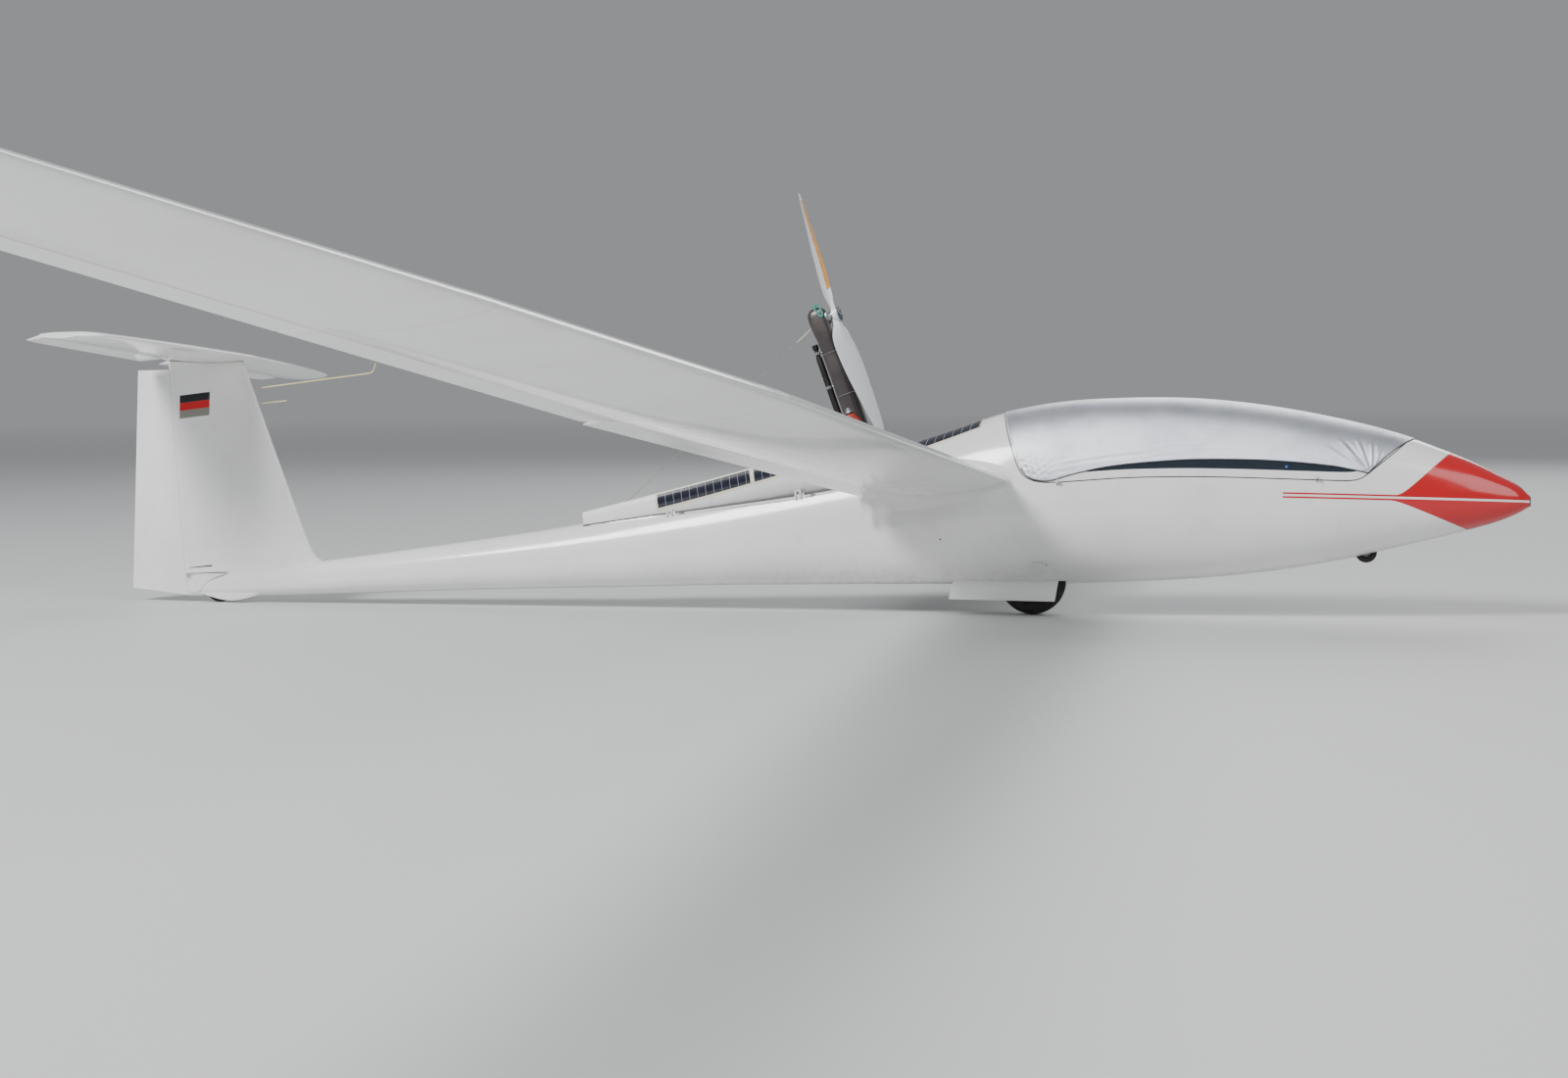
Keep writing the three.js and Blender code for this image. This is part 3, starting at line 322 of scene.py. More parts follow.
class Number:
    """A number on its way through a finish. Python's operators add its Math nodes."""

    def __init__(self, finish, socket):
        self.finish = finish
        self.socket = socket

    def math(self, operation, *inputs):
        return self.finish.add("Math", {"operation": operation}, dict(enumerate(inputs)))

    def __add__(self, other):
        return self.math("ADD", self, other)

    def __radd__(self, other):
        return self.math("ADD", other, self)

    def __sub__(self, other):
        return self.math("SUBTRACT", self, other)

    def __rsub__(self, other):
        return self.math("SUBTRACT", other, self)

    def __mul__(self, other):
        return self.math("MULTIPLY", self, other)

    def __rmul__(self, other):
        return self.math("MULTIPLY", other, self)

    def __truediv__(self, other):
        return self.math("DIVIDE", self, other)

    def __rtruediv__(self, other):
        return self.math("DIVIDE", other, self)

    def __pow__(self, other):
        return self.math("POWER", self, other)

    def __mod__(self, other):
        return self.math("FLOORED_MODULO", self, other)

    def __gt__(self, other):
        return self.math("GREATER_THAN", self, other)

    def __lt__(self, other):
        return self.math("LESS_THAN", self, other)

    def __abs__(self):
        return self.math("ABSOLUTE", self)


class Finish:
    """A surface's finish: a material whose nodes all come from the add method."""

    def __init__(self, name, on_cad=False, **surface):
        self.material = bpy.data.materials.new(name)
        self.material.use_nodes = True
        self.tree = self.material.node_tree
        self.surface = self.tree.nodes["Principled BSDF"].inputs
        if on_cad:
            self.place = self.add("TexCoord", {}, {}, 3)
        else:
            self.place = self.add("Attribute", {"attribute_name": "drawn"}, {}, 1)
        self.x, self.y, self.z = self.parts(self.place)
        self.lay(**surface)

    def add(self, kind, settings, inputs, output=0):
        node = self.tree.nodes.new("ShaderNode" + kind)
        for key, value in settings.items():
            setattr(node, key, value)
        for key, value in inputs.items():
            self.feed(node.inputs[key], value)
        return Number(self, node.outputs[output])

    def feed(self, socket, value):
        if isinstance(value, Number):
            self.tree.links.new(value.socket, socket)
        else:
            socket.default_value = value

    def lay(self, **surface):
        """Sets the surface's own sockets, named in lower case with underscores."""
        for key, value in surface.items():
            words = key.replace("_", " ").title().replace("Ior", "IOR")
            self.feed(self.surface[words], value)
        return self

    def parts(self, vector):
        first = self.add("SeparateXYZ", {}, {0: vector})
        return [Number(self, socket) for socket in first.socket.node.outputs]

    def upward(self):
        """How far the surface faces up, from its own normal."""
        return self.parts(self.add("NewGeometry", {}, {}, 1))[2]

    def noise(self, scale, detail):
        return self.add("TexNoise", {}, {"Vector": self.place, "Scale": scale, "Detail": detail})

    def ribs(self, direction, scale):
        """Fine parallel ribs, as a weave or a twisted strand has them."""
        return self.add("TexWave", {"bands_direction": direction}, {"Vector": self.place, "Scale": scale})

    def ramp(self, value, low, high):
        """0 below low, 1 above high and even between them."""
        return self.add("MapRange", {}, {"Value": value, "From Min": low, "From Max": high})

    def mix(self, base, over, share):
        return self.add("Mix", {"data_type": "RGBA"}, {0: share, 6: base, 7: over}, 2)

    def relief(self, height, depth):
        """Feeds a height of 0 to 1, worth depth in metres, to the surface's normal."""
        return self.lay(normal=self.add("Bump", {}, {"Height": height, "Distance": depth}))


def colour(text):
    """A colour as the renderer wants it, from six hexadecimal digits."""
    channels = [int(text[i : i + 2], 16) / 255 for i in (0, 2, 4)]
    return (*[c / 12.92 if c < 0.04045 else ((c + 0.055) / 1.055) ** 2.4 for c in channels], 1.0)


GELCOAT = colour("f1f2f0")
GELCOAT_AGED = colour("e6e7e3")
GRIME = colour("a9a294")
NOSE_RED = colour("c3121c")
# The white band in the nose's red: half its width, the x of its end, and its height and slope there.
BAND_HALF, BAND_END, BAND_HEIGHT, BAND_SLOPE = 0.006, 1.470, 0.698, 0.0178


def band(finish, value, low, high, soft=0.001):
    """1 between two values, with a soft edge of that width."""
    return finish.ramp(value, low - soft, low + soft) * (1 - finish.ramp(value, high - soft, high + soft))


def gelcoat(name, marks=None):
    """Sprayed and polished gelcoat: a faint orange peel, and dust where hands don't reach."""
    finish = Finish(name, roughness=0.16, coat_weight=0.6, coat_roughness=0.05, ior=1.5)
    age = finish.ramp(finish.noise(1.7, 4), 0.42, 0.75)
    base = finish.mix(GELCOAT, GELCOAT_AGED, age)
    film = finish.ramp(finish.noise(9, 6), 0.55, 0.8) * 0.12
    base = finish.mix(base, GRIME, film)
    if marks:
        base = marks(finish, base)
    finish.lay(base_color=base, roughness=0.15 + film * 0.9 + finish.noise(240, 1) * 0.03)
    return finish.relief(finish.noise(160, 2) * 0.35 + finish.noise(14, 2), 0.00035)


def nose_marks(finish, base):
    """The red nose with a white band along it, two thin lines aft of it, and splashes below."""
    x, z = finish.x, finish.z
    middle = BAND_HEIGHT - (x - BAND_END) * BAND_SLOPE
    over, under = z - middle - BAND_HALF, middle - BAND_HALF - z
    # Each red field's rear edge runs out to a sharp point beside the band.
    upper_edge = 2.117 + over * 1.02 - 0.0004 / (over + 0.002)
    lower_edge = 2.075 + under * 2.5 - 0.00023 / (under - 0.004)
    upper = (over > 0.0095) * finish.ramp(x - upper_edge, -0.001, 0.001)
    lower = (under > 0.0095) * finish.ramp(x - lower_edge, -0.001, 0.001)
    lines = band(finish, over, 0, 0.010, 0.0005) + band(finish, under, 0, 0.010, 0.0005)
    base = finish.mix(base, NOSE_RED, upper + lower + lines * (x > BAND_END))
    splash = band(finish, x, -1.9, 0.1, 0.5) * (1 - finish.ramp(z, 0.16, 0.34))
    return finish.mix(base, GRIME, splash * finish.ramp(finish.noise(22, 8), 0.45, 0.85) * 0.5)


nose_rings = hull_rings(NOSE_END - NOSE_ROUND, TAIL_END)
first = nose_rings[0]
tip = first.mean(0)
for turn in np.linspace(0.15, 1.0, 6):
    lean = turn * np.pi / 2
    ring = tip + (first - tip) * max(math.cos(lean), 0.02)
    ring[:, 0] = tip[0] + NOSE_ROUND * math.sin(lean)
    nose_rings = np.concatenate([[ring], nose_rings])
fuselage = loft("fuselage", nose_rings)
cabin = loft("cabin", hull_rings(*COCKPIT, 0.06, 64, SKIN))
cut(cabin, block(*WHEEL_WELL, SKIN), block(*NOSE_WELL, SKIN))
bay = loft("bay", hull_rings(*BAY, 0.06, 64, SKIN))
bay_outline = [
    (BAY[0] + 0.1, smooth(FUSELAGE, BAY[0])[0][1] + BAY_FLOOR),
    (BAY[1] - 0.1, smooth(FUSELAGE, BAY[1])[0][1] + BAY_FLOOR),
    (BAY[1] - 0.1, CUTTER_HIGH),
    (BAY[0] + 0.1, CUTTER_HIGH),
]
combine(bay, prism("cutter", bay_outline, -CUTTER_HALF, CUTTER_HALF), "INTERSECT")
doorway = prism("cutter", [
    (DOOR_FRONT, -DOOR_FRONT_HALF),
    (DOOR_FRONT, DOOR_FRONT_HALF),
    (DOOR_REAR, DOOR_REAR_HALF),
    (DOOR_REAR, -DOOR_REAR_HALF),
], CUTTER_LOW, CUTTER_HIGH, "xy")
canopy_edge = route(CANOPY_EDGE, 90)
cut(fuselage, cabin, bay, doorway, above(canopy_edge))
cut(fuselage, block(*WHEEL_WELL), block(*NOSE_WELL), block(*TAIL_SLOT))
lining = Finish("cockpit_lining", roughness=0.7)
speckle = lining.ramp(lining.noise(420, 2), 0.45, 0.6)
lining.lay(base_color=lining.mix(colour("a9acad"), colour("8f9394"), speckle)).relief(speckle, 0.0004)
fasten(
    fuselage,
    [gelcoat("fuselage_gelcoat", nose_marks), lining],
    "airframe",
    "gelcoat",
    "fuselage_pod",
    "fuselage_bay",
    "tail_boom_and_fin",
)
# Faces that lie wholly under the outer skin are the painted inside.
drawn = np.array([PARKED.inverted() @ vertex.co for vertex in fuselage.data.vertices])
buried = skin_half(drawn[:, 0], drawn[:, 2]) - np.abs(drawn[:, 1]) > 0.003
buried &= (drawn[:, 0] < COCKPIT[0] + 0.01) & (drawn[:, 0] > BAY[1] - 0.005)
for face in fuselage.data.polygons:
    face.material_index = int(buried[list(face.vertices)].all())


# Fin. Moulded with the tail boom, with a swept leading edge and a cove for the rudder's nose.
# A thin flag is laid under its lacquer near its top, ahead of the rudder.
# Sections: z, leading edge x, half thickness.
FIN = [
    (0.130, -4.500, 0.040),
    (0.258, -4.545, 0.052),
    (0.290, -4.598, 0.060),
    (0.345, -4.636, 0.066),
    (0.800, -4.830, 0.058),
    (1.560, -5.140, 0.042),
]
RUDDER_FOOT, RUDDER_TOP = 0.042, 1.492
RUDDER_LINE = [(RUDDER_FOOT, -5.492, 0.034, -5.890), (RUDDER_TOP, -5.650, 0.022, -5.879)]
RUNNING_GAP = 0.006
LIP = 0.0014
# The fin's skin ends this far ahead of the rudder's hinge.
FIN_AHEAD = 0.003
FIN_FOOT, FIN_TOP = FIN[0][0], FIN[-1][0]
FLAG_REAR, FLAG_FRONT, FLAG_STRIPE = -5.563, -5.341, 0.050


def rudder_line(z):
    """Hinge x, nose radius and trailing edge x of the rudder at a height."""
    (z0, *low), (z1, *high) = RUDDER_LINE
    return np.array(low) + (np.array(high) - np.array(low)) * (z - z0) / (z1 - z0)


def fin_width(root, z):
    """Half width of the fin where root is the square root of the share of its chord."""
    half = smooth(FIN, z)[0][1]
    side = [(0, 0), (0.141, 0.3), (0.316, 0.68), (0.548, 1), (0.775, 0.95), (1, rudder_line(z)[1] / half)]
    return smooth(side, root)[:, 0] * half


def fin_half(x, z):
    """Half width of the fin at a place in side view."""
    edge = smooth(FIN, z)[0][0]
    return fin_width(math.sqrt(min(max((edge - x) / (edge - rudder_line(z)[0] - FIN_AHEAD), 0), 1)), z)[0]


def fin_ring(z):
    edge = smooth(FIN, z)[0][0]
    hinge, nose, _ = rudder_line(z)
    root = np.linspace(0, 1, 26)
    chord = edge - hinge - FIN_AHEAD
    outer = [(edge - chord * r * r, width, z) for r, width in zip(root, fin_width(root, z))]
    cove = [(hinge + nose + RUNNING_GAP, nose * 0.9, z)]
    lip = [(hinge + FIN_AHEAD, nose - LIP, z)]
    port = [*outer, *lip, *cove]
    starboard = [(x, -y, z) for x, y, z in port[1:]]
    return port + starboard[::-1]


def fin_marks(finish, base):
    """A flag of three stripes, tape along the rudder's gap, and painted shade at the gap's edge."""
    x, z = finish.x, finish.z
    flag = z - 1.175 - (x + 5.561) * 0.1
    stripe = band(finish, x, FLAG_REAR, FLAG_FRONT, 0.0006)
    for number, shade in enumerate(("85837a", "c40a14", "14161c")):
        low = number * FLAG_STRIPE
        base = finish.mix(base, colour(shade), stripe * band(finish, flag, low, low + FLAG_STRIPE, 0.0006))
    behind = x + 5.492 + (z - RUDDER_FOOT) * 0.109
    base = finish.mix(base, colour("b9b4a8"), band(finish, behind, 0.0435, 0.0450, 0.0004) * 0.6)
    # The fin's edge at the rudder's gap is darkened: painted shade in the gap.
    return finish.mix(base, colour("6f6a60"), (behind < 0.0048) * 0.8)


fin = loft("fin", [fin_ring(z) for z in np.linspace(FIN_FOOT, FIN_TOP, 44)])
cut(fin, block(*TAIL_SLOT))
fasten(fin, gelcoat("fin_gelcoat", fin_marks), "airframe", "gelcoat")


# Rudder. A hollow moulding on two pins, with a round nose that turns in the fin's cove. Its
# foot sweeps up a little towards the trailing edge.
FOOT_RISE = 0.040
RUDDER_EDGE = 0.0018


def rudder_ring(z):
    hinge, nose, trailing = rudder_line(z)
    arc = [
        (hinge + nose * math.sin(turn), nose * math.cos(turn), z)
        for turn in np.linspace(0, np.pi, 19)
    ]
    rise = FOOT_RISE * max(1 - (z - RUDDER_FOOT) / 0.3, 0) ** 2
    swept = []
    for share in (1.0, 0.8, 0.6, 0.4, 0.2):
        half = RUDDER_EDGE + (nose - RUDDER_EDGE) * (1 - share)
        swept.append((hinge + (trailing - hinge) * share, half, z + rise * share))
    return [*swept, *arc, *[(x, -y, height) for x, y, height in swept[::-1]]]


rudder = loft("rudder_blade", [rudder_ring(z) for z in np.linspace(RUDDER_FOOT, RUDDER_TOP, 30)])
fasten(rudder, gelcoat("rudder_gelcoat"), "rudder", "gelcoat", "rudder")


# Wings. Each is four hollow carbon mouldings joined by tongues and pins, white above and below,
# with thin lips that reach back over the round noses of the flaps and ailerons.
# Stations: y, leading edge x and z, chord, thickness over chord.
WING = [
    (0.372, -0.095, 0.776, 0.885, 0.150),
    (5.290, -0.093, 0.908, 0.870, 0.150),
    (8.200, -0.190, 0.980, 0.690, 0.145),
    (12.750, -0.480, 1.103, 0.330, 0.130),
    (13.040, -0.560, 1.132, 0.240, 0.120),
    (13.150, -0.640, 1.164, 0.130, 0.100),
]
# Section: fraction of the chord, height above and below it over the thickness.
AIRFOIL = [
    (0.0, 0.0, 0.0),
    (0.012, 0.15, -0.08),
    (0.05, 0.32, -0.16),
    (0.14, 0.50, -0.25),
    (0.30, 0.63, -0.34),
    (0.45, 0.64, -0.36),
    (0.62, 0.52, -0.29),
    (0.83, 0.27, -0.08),
    (1.0, 0.02, -0.01),
]
INCIDENCE = math.radians(5.5)
HINGE_AT = 0.83
# The lips end this far ahead of the hinge.
LIP_AHEAD = 0.008
SECTION_SPACING = 0.14
JOINT_GAP = 0.0003
ROOT = 0.372
WING_PANELS = [
    ("wing_inner", ROOT, 5.290),
    ("wing_middle", 5.290, 8.200),
    ("wing_outer", 8.200, 12.300),
    ("wing_tip", 12.300, 13.150),
]
rooted = [(math.sqrt(aft), up, down) for aft, up, down in AIRFOIL]


def station(y):
    """Leading edge x and z, chord and thickness over chord at a place along the span."""
    return [np.interp(y, [row[0] for row in WING], [row[k] for row in WING]) for k in range(1, 5)]


def on_chord(y, aft, up):
    x, z, chord, _ = station(y)
    return (
        x - chord * (aft * math.cos(INCIDENCE) + up * math.sin(INCIDENCE)),
        y,
        z - chord * (aft * math.sin(INCIDENCE) - up * math.cos(INCIDENCE)),
    )


def contour(y, start, end, count):
    """Upper and lower surface points between two fractions of the chord, as (aft, up, down)."""
    root = np.linspace(math.sqrt(start), math.sqrt(end), count)
    thick = station(y)[3]
    up, down = smooth(rooted, root).T * thick
    return list(zip(root**2, up, down))


def surface_hinge(y):
    """The moving nose's radius and the hinge's height, both over the chord."""
    _, above_hinge, below_hinge = AIRFOIL[7]
    thick = station(y)[3]
    return (above_hinge - below_hinge) / 2 * thick, (above_hinge + below_hinge) / 2 * thick


def whole_ring(y):
    rows = contour(y, 0, 1, 34)
    upper = [on_chord(y, aft, up) for aft, up, _ in rows]
    lower = [on_chord(y, aft, down) for aft, _, down in rows[1:]]
    return upper[::-1] + lower


def fixed_ring(y):
    chord = station(y)[2]
    nose, _ = surface_hinge(y)
    rows = contour(y, 0, HINGE_AT - LIP_AHEAD / chord, 30)
    aft, up, down = rows[-1]
    cove = HINGE_AT - nose - RUNNING_GAP / chord
    lip = LIP / chord
    upper = [on_chord(y, a, u) for a, u, _ in rows]
    lower = [on_chord(y, a, d) for a, _, d in rows[1:]]
    inside = [
        on_chord(y, aft, down + lip),
        on_chord(y, cove, down * 1.15),
        on_chord(y, cove, up * 0.96),
        on_chord(y, aft, up - lip),
    ]
    return upper[::-1] + lower + inside


def moving_ring(y):
    nose, height = surface_hinge(y)
    rows = contour(y, HINGE_AT, 1, 8)
    upper = [on_chord(y, aft, up) for aft, up, _ in rows][::-1]
    lower = [on_chord(y, aft, down) for aft, _, down in rows]
    arc = [
        on_chord(y, HINGE_AT - nose * math.sin(turn), height + nose * math.cos(turn))
        for turn in np.linspace(0, np.pi, 17)[1:-1]
    ]
    return upper + arc + lower


def wing_marks(finish, base):
    """The airbrake's lid on top, tape and painted shade at the hinge, and tape over the panels' joints."""
    x, y, z = finish.x, abs(finish.y), finish.z
    lid = band(finish, y, 2.30, 3.75, 0.0012) * band(finish, x, -0.532, -0.468, 0.0012)
    inner = band(finish, y, 2.3035, 3.7465, 0.0012) * band(finish, x, -0.5285, -0.4715, 0.0012)
    on_top = finish.ramp(finish.upward(), 0.2, 0.4)
    line = (lid - inner) * on_top
    base = finish.mix(base, colour("6d6a64"), line * 0.8)
    # The hinge line runs almost straight across the panels; the lips end just ahead of it.
    hinge = finish.ramp(y, ROOT, 5.290) * 0.014 + finish.ramp(y, 5.290, 8.200) * 0.052
    behind = x - (hinge + finish.ramp(y, 8.200, 12.750) * 0.007 - 0.826)
    reach = band(finish, y, 0.400, 12.292)
    # Pale seal tape lies ahead of the lips' ends. The dark band just ahead of the hinge, over the lips'
    # last millimetres and the gap behind them, is painted shade in the hinge gap.
    base = finish.mix(base, colour("d9d4c0"), band(finish, behind, 0.0115, 0.034, 0.0006) * reach * 0.7)
    base = finish.mix(base, colour("4c4a46"), band(finish, behind, 0.0030, 0.0115, 0.0004) * reach * 0.75)
    tape = sum((band(finish, y, at - 0.016, at + 0.016, 0.0006) for at in (5.290, 8.200, 12.300)), 0.0)
    return finish.mix(base, colour("dcdcd4"), tape * 0.6)


wing_gelcoat = gelcoat("wing_gelcoat", wing_marks)
SURFACES = [
    ("flap", 0.400, 5.276, -4.0),
    ("aileron_inner", 5.296, 8.186, 0.0),
    ("aileron_outer", 8.206, 12.292, 0.0),
]
SIDES = (("port", 1), ("starboard", -1))


def sided(rings, side):
    return np.array(rings) * (1, side, 1)


for side_name, side in SIDES:
    for name, inner, outer in WING_PANELS:
        count = 40 if name == "wing_tip" else int((outer - inner) / SECTION_SPACING)
        ring = whole_ring if name == "wing_tip" else fixed_ring
        rings = [ring(y) for y in np.linspace(inner + JOINT_GAP, outer, count)]
        panel = loft(f"{name}_skin_{side_name}", sided(rings, side))
        fasten(panel, wing_gelcoat, "airframe", "gelcoat", f"{name}_{side_name}")
    for name, inner, outer, rest in SURFACES:
        count = int((outer - inner) / SECTION_SPACING)
        rings = [moving_ring(y) for y in np.linspace(inner, outer, count)]
        surface = loft(f"{name}_skin_{side_name}", sided(rings, side))
        node = f"{name}_{side_name}"
        fasten(surface, wing_gelcoat, node, "gelcoat", node, joint=f"{node}_hinge", turn=rest)


# Root fillets. The fuselage's moulding sweeps out in a hollow curve to meet the wing's root
# rib, so each one is as deep as the gap between the skin and that rib. A small white plate
# hangs from its end and covers the way through for the flap's drive.
FILLET_BURIED = 0.004
# The plate in side view: x, z.
DRIVE_PLATE = [
    (-0.948, 0.702),
    (-0.974, 0.696),
    (-0.974, 0.640),
    (-0.962, 0.576),
    (-0.932, 0.593),
    (-0.958, 0.640),
]
PLATE_INNER, PLATE_OUTER = 0.364, 0.376


def fillet_ring(turn):
    """One line round the wing's root: turn is 0 on the rib and a right angle on the skin."""
    rows = contour(ROOT, 0.0005, 1, 44)
    upper = [on_chord(ROOT, aft, up) for aft, up, _ in rows]
    lower = [on_chord(ROOT, aft, down) for aft, _, down in rows]
    outline = np.array(upper[::-1] + lower)
    ahead, behind = np.roll(outline, -1, 0), np.roll(outline, 1, 0)
    tangent = ahead - behind
    normal = np.stack([-tangent[:, 2], 0 * tangent[:, 0], tangent[:, 0]], -1)
    normal /= np.linalg.norm(normal, axis=1)[:, None]
    centre = outline.mean(0)
    normal *= np.sign(((outline - centre) * normal).sum(1))[:, None]
    radius = ROOT - skin_half(outline[:, 0], outline[:, 2])
    out = outline + normal * (radius * (1 - math.cos(turn)))[:, None]
    gap = ROOT - skin_half(out[:, 0], out[:, 2])
    out[:, 1] = ROOT - gap * math.sin(turn)
    if turn > np.pi / 2:
        out[:, 1] -= FILLET_BURIED
    return out


for side_name, side in SIDES:
    turns = np.linspace(0, np.pi / 2 + 0.001, 14)
    fillet = loft(f"root_fillet_{side_name}", sided([fillet_ring(turn) for turn in turns], side))
    plate = prism(f"flap_drive_plate_{side_name}", DRIVE_PLATE, side * PLATE_INNER, side * PLATE_OUTER)
    for piece in (fillet, plate):
        fasten(piece, wing_gelcoat, "airframe", "gelcoat")


# Tailplane and elevator. A one-piece symmetrical moulding bolted on top of the fin, with a round
# tipped elevator on each side joined by a torque tube.
# Stations: y, leading edge x, trailing edge x.
TAILPLANE = [
    (0.0, -5.063, -5.800),
    (0.72, -5.118, -5.790),
    (1.20, -5.180, -5.780),
    (1.44, -5.225, -5.772),
    (1.54, -5.275, -5.760),
    (1.58, -5.400, -5.735),
]
TAILPLANE_Z = 1.572
TAIL_THICKNESS = 0.052
# Section: square root of the share of the chord, height over the greatest height.
TAIL_SECTION = [(0, 0), (0.122, 0.3), (0.283, 0.62), (0.548, 1), (0.742, 0.85)]
# The tailplane's skin ends this far ahead of the elevator's hinge.
TAIL_AHEAD = 0.004
ELEVATOR_HINGE = -5.655
ELEVATOR_INNER, ELEVATOR_OUTER = 0.120, 1.540
ELEVATOR_REST = -12.0


def tail_station(y):
    front, rear = smooth(TAILPLANE, abs(y))[0]
    return front, rear, front - rear


def tail_nose(y):
    return tail_station(y)[2] * 0.024


def tailplane_ring(y):
    front, _, chord = tail_station(y)
    nose = tail_nose(y)
    end = (front - ELEVATOR_HINGE - TAIL_AHEAD) / chord
    half = chord * TAIL_THICKNESS
    rows = [*TAIL_SECTION, (math.sqrt(end), nose / half)]
    root = np.linspace(0, math.sqrt(end), 22)
    heights = smooth(rows, root)[:, 0] * half
    outer = [(front - chord * r * r, y, TAILPLANE_Z + height) for r, height in zip(root, heights)]
    lip = (ELEVATOR_HINGE + TAIL_AHEAD, y, TAILPLANE_Z + nose - LIP)
    cove = (ELEVATOR_HINGE + nose + RUNNING_GAP, y, TAILPLANE_Z + nose * 0.9)
    top = [*outer, lip, cove]
    return top + [(a, b, 2 * TAILPLANE_Z - c) for a, b, c in top[1:]][::-1]


def elevator_ring(y):
    rear = tail_station(y)[1]
    nose = tail_nose(y)
    arc = [
        (ELEVATOR_HINGE + nose * math.sin(turn), y, TAILPLANE_Z + nose * math.cos(turn))
        for turn in np.linspace(0, np.pi, 15)
    ]
    return [(rear, y, TAILPLANE_Z + 0.0015), *arc, (rear, y, TAILPLANE_Z - 0.0015)]


tail_gelcoat = gelcoat("tail_gelcoat")
spread = np.sin(np.linspace(-np.pi / 2, np.pi / 2, 61)) * TAILPLANE[-1][0]
tailplane = loft("tailplane_skin", [tailplane_ring(y) for y in spread])
fasten(tailplane, tail_gelcoat, "airframe", "gelcoat", "tailplane")
for side_name, side in SIDES:
    rings = [elevator_ring(y) for y in np.linspace(ELEVATOR_INNER, ELEVATOR_OUTER, 24)]
    half_elevator = loft(f"elevator_{side_name}", sided(rings, side))
    fasten(
        half_elevator, tail_gelcoat, "elevator", "gelcoat", "elevator",
        joint="elevator_hinge", turn=ELEVATOR_REST,
    )


# Tailplane seal. A soft brown bead of sealant, run by hand round the joint between the fin's top
# and the tailplane.
BEAD = 0.0022


def mottled(name, base, over, scale, detail, **surface):
    """A finish whose colour wanders between two."""
    finish = Finish(name, **surface)
    return finish.lay(base_color=finish.mix(colour(base), colour(over), finish.noise(scale, detail)))


def tube(name, path, radius, around, closed=False):
    """A round cord, rod or hose along a path. Its radius may change along it."""
    path = np.array(path, float)
    radius = np.broadcast_to(radius, len(path))
    step = np.roll(path, -1, 0) - np.roll(path, 1, 0) if closed else np.gradient(path, axis=0)
    step /= np.linalg.norm(step, axis=1)[:, None]
    side = np.cross(step[0], (0.31, 0.9, 0.27))
    angle = np.linspace(0, 2 * np.pi, around, endpoint=False)
    rings = []
    for centre, forward, size in zip(path, step, radius):
        side = side - forward * (side @ forward)
        side /= np.linalg.norm(side)
        other = np.cross(forward, side)
        rings.append(centre + size * (np.outer(np.cos(angle), side) + np.outer(np.sin(angle), other)))
    return loft(name, rings, closed)


def tail_under(x):
    """Height of the tailplane's underside in its middle."""
    front, _, chord = tail_station(0)
    share = math.sqrt(max((front - x) / chord, 0))
    return TAILPLANE_Z - smooth([*TAIL_SECTION, (1, 0.3)], share)[0][0] * chord * TAIL_THICKNESS


bead_path = []
for x in np.linspace(-5.132, -5.640, 40):
    bead_path.append((x, fin_half(x, 1.545), min(tail_under(x), FIN_TOP)))
bead_path = bead_path[::-1] + [(x, -y, z) for x, y, z in bead_path]
bead_finish = mottled("joint_bead", "6d5c4c", "8d7d6b", 60, 3, roughness=0.6)
fasten(tube("tailplane_seal", bead_path, BEAD, 8), bead_finish, "airframe", "gelcoat")


# Canopy. One long acrylic window bonded into a carbon frame, hinged along its starboard side.
# The frame follows the fuselage's skin, with a thin even gap all round, and a blue vent knob sits
# low in the window on each side.
CANOPY_GAP = 0.006
CANOPY_FRAME = 0.045
PANE = 0.006
BOND = 0.0003
CANOPY_SHELL = (2.35, -0.30)


def drawn_in(edge, distance):
    """The edge moved inwards, square to itself, in side view."""
    edge = np.array(edge)
    tangent = np.gradient(edge, axis=0)
    tangent /= np.linalg.norm(tangent, axis=1)[:, None]
    normal = np.stack([tangent[:, 1], -tangent[:, 0]], -1)
    normal *= np.where(normal[:, 1].mean() < 0, -1, 1)
    return edge + normal * distance


def shell(name, front, rear, depth):
    """A skin that follows the fuselage and is as thick as depth."""
    piece = loft(name, hull_rings(front, rear, 0.03, 128))
    return cut(piece, loft("cutter", hull_rings(front + 0.02, rear - 0.02, 0.03, 128, depth)))


canopy_frame = shell("canopy_rim", *CANOPY_SHELL, SKIN)
combine(canopy_frame, above(drawn_in(canopy_edge, CANOPY_GAP)), "INTERSECT")
cut(canopy_frame, above(drawn_in(canopy_edge, CANOPY_GAP + CANOPY_FRAME - BOND)))
fasten(canopy_frame, gelcoat("canopy_gelcoat"), "canopy", "gelcoat", "canopy_frame")

glazing = Finish(
    "canopy_glazing",
    base_color=colour("4a5866"),
    roughness=0.03,
    ior=1.49,
    transmission_weight=0.75,
)
canopy_glass = shell("canopy_window", *CANOPY_SHELL, PANE)
combine(canopy_glass, above(drawn_in(canopy_edge, CANOPY_GAP + CANOPY_FRAME)), "INTERSECT")
fasten(canopy_glass, glazing, "canopy", "canopy_glazing", "canopy_glass")


def turned(name, profile, start, end, around=32):
    """A round piece on the line between two points: share of the way, radius."""
    start, end = np.array(start, float), np.array(end, float)
    path = [start + (end - start) * share for share, _ in profile]
    return tube(name, path, [radius for _, radius in profile], around)


